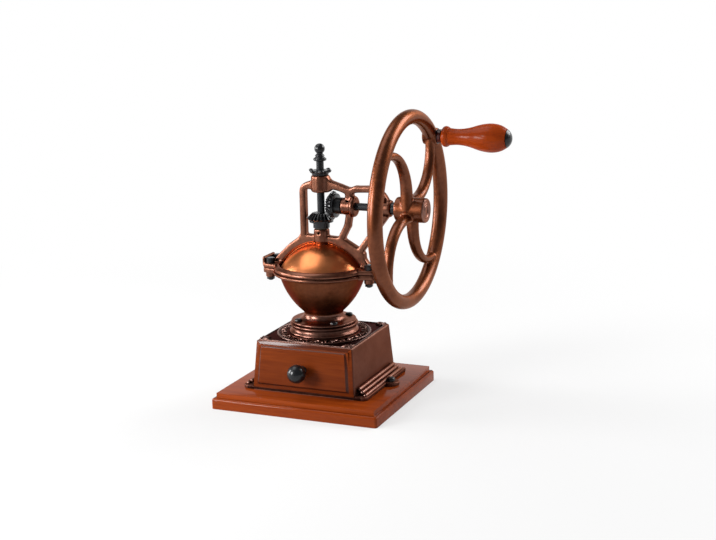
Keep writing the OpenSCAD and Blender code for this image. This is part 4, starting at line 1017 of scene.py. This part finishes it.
def drawer_front():
    """Board that fills the housing's mouth and laps over its front, with a bevel all round."""
    low, high = 18.3, 56.9
    inner = (house_half_width(low) - 2.95, house_half_width(high) - 2.95)
    plug = block((-inner[0], -47.5, low), (inner[0], -41.5, high))
    open_mesh(plug, "VERT")
    pick(plug, lambda vert, middle: near(middle.z, high))
    bpy.ops.transform.resize(value=(inner[1] / inner[0], 1, 1), center_override=(0, 0, high * MM))
    close_mesh()
    low, high = 17.05, HOUSE_TOP - 0.25
    wide = (house_half_width(low) - 0.25, house_half_width(high) - 0.25)
    deep = (house_half_depth(low), house_half_depth(high))
    lap = block((-wide[0], -deep[0] - 1.05, low), (wide[0], -deep[0] - 0.65, high))
    open_mesh(lap, "VERT")
    pick(lap, lambda vert, middle: near(middle.z, high))
    bpy.ops.transform.resize(value=(wide[1] / wide[0], 1, 1), center_override=(0, 0, high * MM))
    bpy.ops.transform.translate(value=(0, (deep[0] - deep[1]) * MM, 0))
    bpy.ops.mesh.select_mode(type="FACE")
    pick(lap, lambda face, middle: face.normal.y < -0.9)
    bpy.ops.mesh.inset(thickness=3.2 * MM, depth=0.7 * MM)
    bpy.ops.transform.resize(value=((wide[0] - 4.4) / (wide[0] - 3.2), 1, 1), center_override=(0, 0, 0))
    bpy.ops.mesh.inset(thickness=1.7 * MM, depth=1.95 * MM)
    close_mesh()
    rounded(lap, 0.28, 3, 20)
    rounded(plug, 0.3)
    panel = settle(joined(lap, plug), "drawer_panel", "drawer", ["drawer_front"],
        [DRAWER_WOOD, DRAWER_BEVEL_SHADE], 25)
    for face in panel.data.polygons:
        x, y, z = face.center / MM
        if y < -house_half_depth(z) - 1 and -0.97 < face.normal.y < -0.3:
            # The sloped bevel round the raised field: darker wood as painted shade.
            face.material_index = 1
    return panel


def drawer_box():
    for node in ("drawer_sides", "drawer_back", "drawer_bottom"):
        settle(eased(node, 0.35), node + "_boards", "drawer", [node], BOX_WOOD)


def drawer_knob():
    """Ball, neck and foot in one turning."""
    foot = Vector((0, -house_half_depth(37.1) - 3.8, 37.1))
    ball = 1.2 + 2.4 + math.sqrt(8.3 ** 2 - 3.4 ** 2)
    profile = ([(0, -0.9), (4.4, -0.9), (4.4, 0.5)] + curve_points([(4.2, 0.9), (3.5, 1.4), (3.3, 2.4),
        (3.5, 3.4)], 4) + round_corner((0, ball), 8.3, -63, 90, 26))
    piece = turned(profile, foot, FRONT, 72)
    return settle(piece, "drawer_pull", "drawer", ["drawer_knob"], BLACK_IRON)


def hidden_pieces():
    """Pieces whose solids are right as they are get their finish only."""
    for names, finish in ((("ring_burr", "cone_burr", "bearing_bar", "burr_pin", "grip_pin",
            "spindle_gear_screw", "shaft_gear_screw", "hub_screw", "knob_screw"), STEEL),
            (("thrust_washer",), DARK_WASHER)):
        for name in names:
            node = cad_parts[name]
            node.data.materials.clear()
            node.data.materials.append(finish)


# Studio


def camera():
    turn, tilt, roll = math.radians(23.01), math.radians(13.08), math.radians(-1.17)
    back = Vector((math.sin(turn) * math.cos(tilt), -math.cos(turn) * math.cos(tilt), math.sin(tilt)))
    right = Vector((math.cos(turn), math.sin(turn), 0))
    up = back.cross(right)
    side = right * math.cos(roll) + up * math.sin(roll)
    top = up * math.cos(roll) - right * math.sin(roll)
    spot = (Vector((34.63, 0, 119.86)) + back * 1252.74) * MM
    lens = bpy.data.cameras.new("camera")
    lens.lens = 70.39
    lens.sensor_width = 36
    lens.sensor_fit = "HORIZONTAL"
    lens.clip_end = 100
    view = bpy.data.objects.new("camera", lens)
    view.matrix_world = Matrix((side, top, back)).transposed().to_4x4()
    view.location = spot
    bpy.context.collection.objects.link(view)
    bpy.context.scene.camera = view


def soft_box(name, place, aim, width, height, power, tint=(1, 1, 1)):
    lamp = bpy.data.lights.new(name, "AREA")
    lamp.shape = "RECTANGLE"
    lamp.size = width
    lamp.size_y = height
    lamp.energy = power
    lamp.color = tint
    stand = bpy.data.objects.new(name, lamp)
    stand.location = place
    stand.rotation_euler = (Vector(aim) - Vector(place)).to_track_quat("-Z", "Y").to_euler()
    bpy.context.collection.objects.link(stand)
    return stand


def white_paper():
    """White floor that keeps the shadow near the object and is plain white far from it."""
    paper = Finish("white paper")
    path = paper.tree.nodes.new("ShaderNodeLightPath")
    seen = Amount(paper, path.outputs["Is Camera Ray"]) + Amount(paper, path.outputs["Is Glossy Ray"])
    seen = (seen + Amount(paper, path.outputs["Is Transmission Ray"])).kept()
    away = paper.node("ShaderNodeVectorMath", {"operation": "LENGTH"}, {0: paper.place()}, out="Value")
    share = 0.55 + away.step(200, 700) * 0.45
    glow = paper.node("ShaderNodeEmission", {}, {"Color": (1, 1, 1), "Strength": 1.0})
    paper.set(Base_Color=(0.70, 0.70, 0.70), Roughness=0.9, Specular_IOR_Level=0.1)
    mixed = paper.node("ShaderNodeMixShader", {}, {0: seen * share,
        1: Amount(paper, paper.shader.outputs[0]), 2: glow})
    paper.tree.links.new(mixed.socket, paper.tree.nodes["Material Output"].inputs["Surface"])
    return paper.material


def sky():
    """Dim surroundings, so that the lamps draw the highlights."""
    world = bpy.data.worlds.new("studio")
    world.use_nodes = True
    bpy.context.scene.world = world
    ground = world.node_tree.nodes["Background"]
    ground.inputs["Color"].default_value = (1, 1, 1, 1)
    ground.inputs["Strength"].default_value = 0.2


def toward(turn, tilt, reach):
    """A place in the studio: degrees round from the drawer side, degrees up, and metres away."""
    turn, tilt = math.radians(turn), math.radians(tilt)
    return Vector((math.sin(turn) * math.cos(tilt), -math.cos(turn) * math.cos(tilt),
        math.sin(tilt))) * reach + Vector((0.02, 0, 0.12))


def studio():
    camera()
    bpy.ops.object.select_all(action="DESELECT")
    paper = white_paper()
    bpy.ops.mesh.primitive_plane_add(size=60, location=(0, 29.4, 0))
    floor = bpy.context.object
    floor.name = "studio_floor"
    backdrop = block((-4500, 2400, -10), (4500, 2410, 1400))
    backdrop.name = "studio_backdrop"
    backdrop.visible_shadow = False
    for sheet in (floor, backdrop):
        placed(sheet)
        sheet.data.materials.append(paper)
    sky()
    middle = (0.02, 0, 0.13)
    soft_box("overhead", toward(-90, 66, 1.1), middle, 0.95, 0.7, 4.6)
    soft_box("front left", toward(-38, 16, 1.3), middle, 0.45, 0.55, 18)
    soft_box("left strip", toward(-80, 14, 1.2), middle, 0.3, 0.6, 11)
    soft_box("window", toward(135, 34, 1.3), middle, 0.8, 0.6, 14)
    bpy.context.scene.view_settings.view_transform = "Standard"


plinth()
housing()
foot_bolts()
bowl()
flange_screws()
bridge()
clamp_bolts()
dome()
lid_knob()
spindle()
gears()
adjusting_nut()
finial()
shaft()
flywheel()
grip()
drawer_front()
drawer_box()
drawer_knob()
hidden_pieces()
studio()
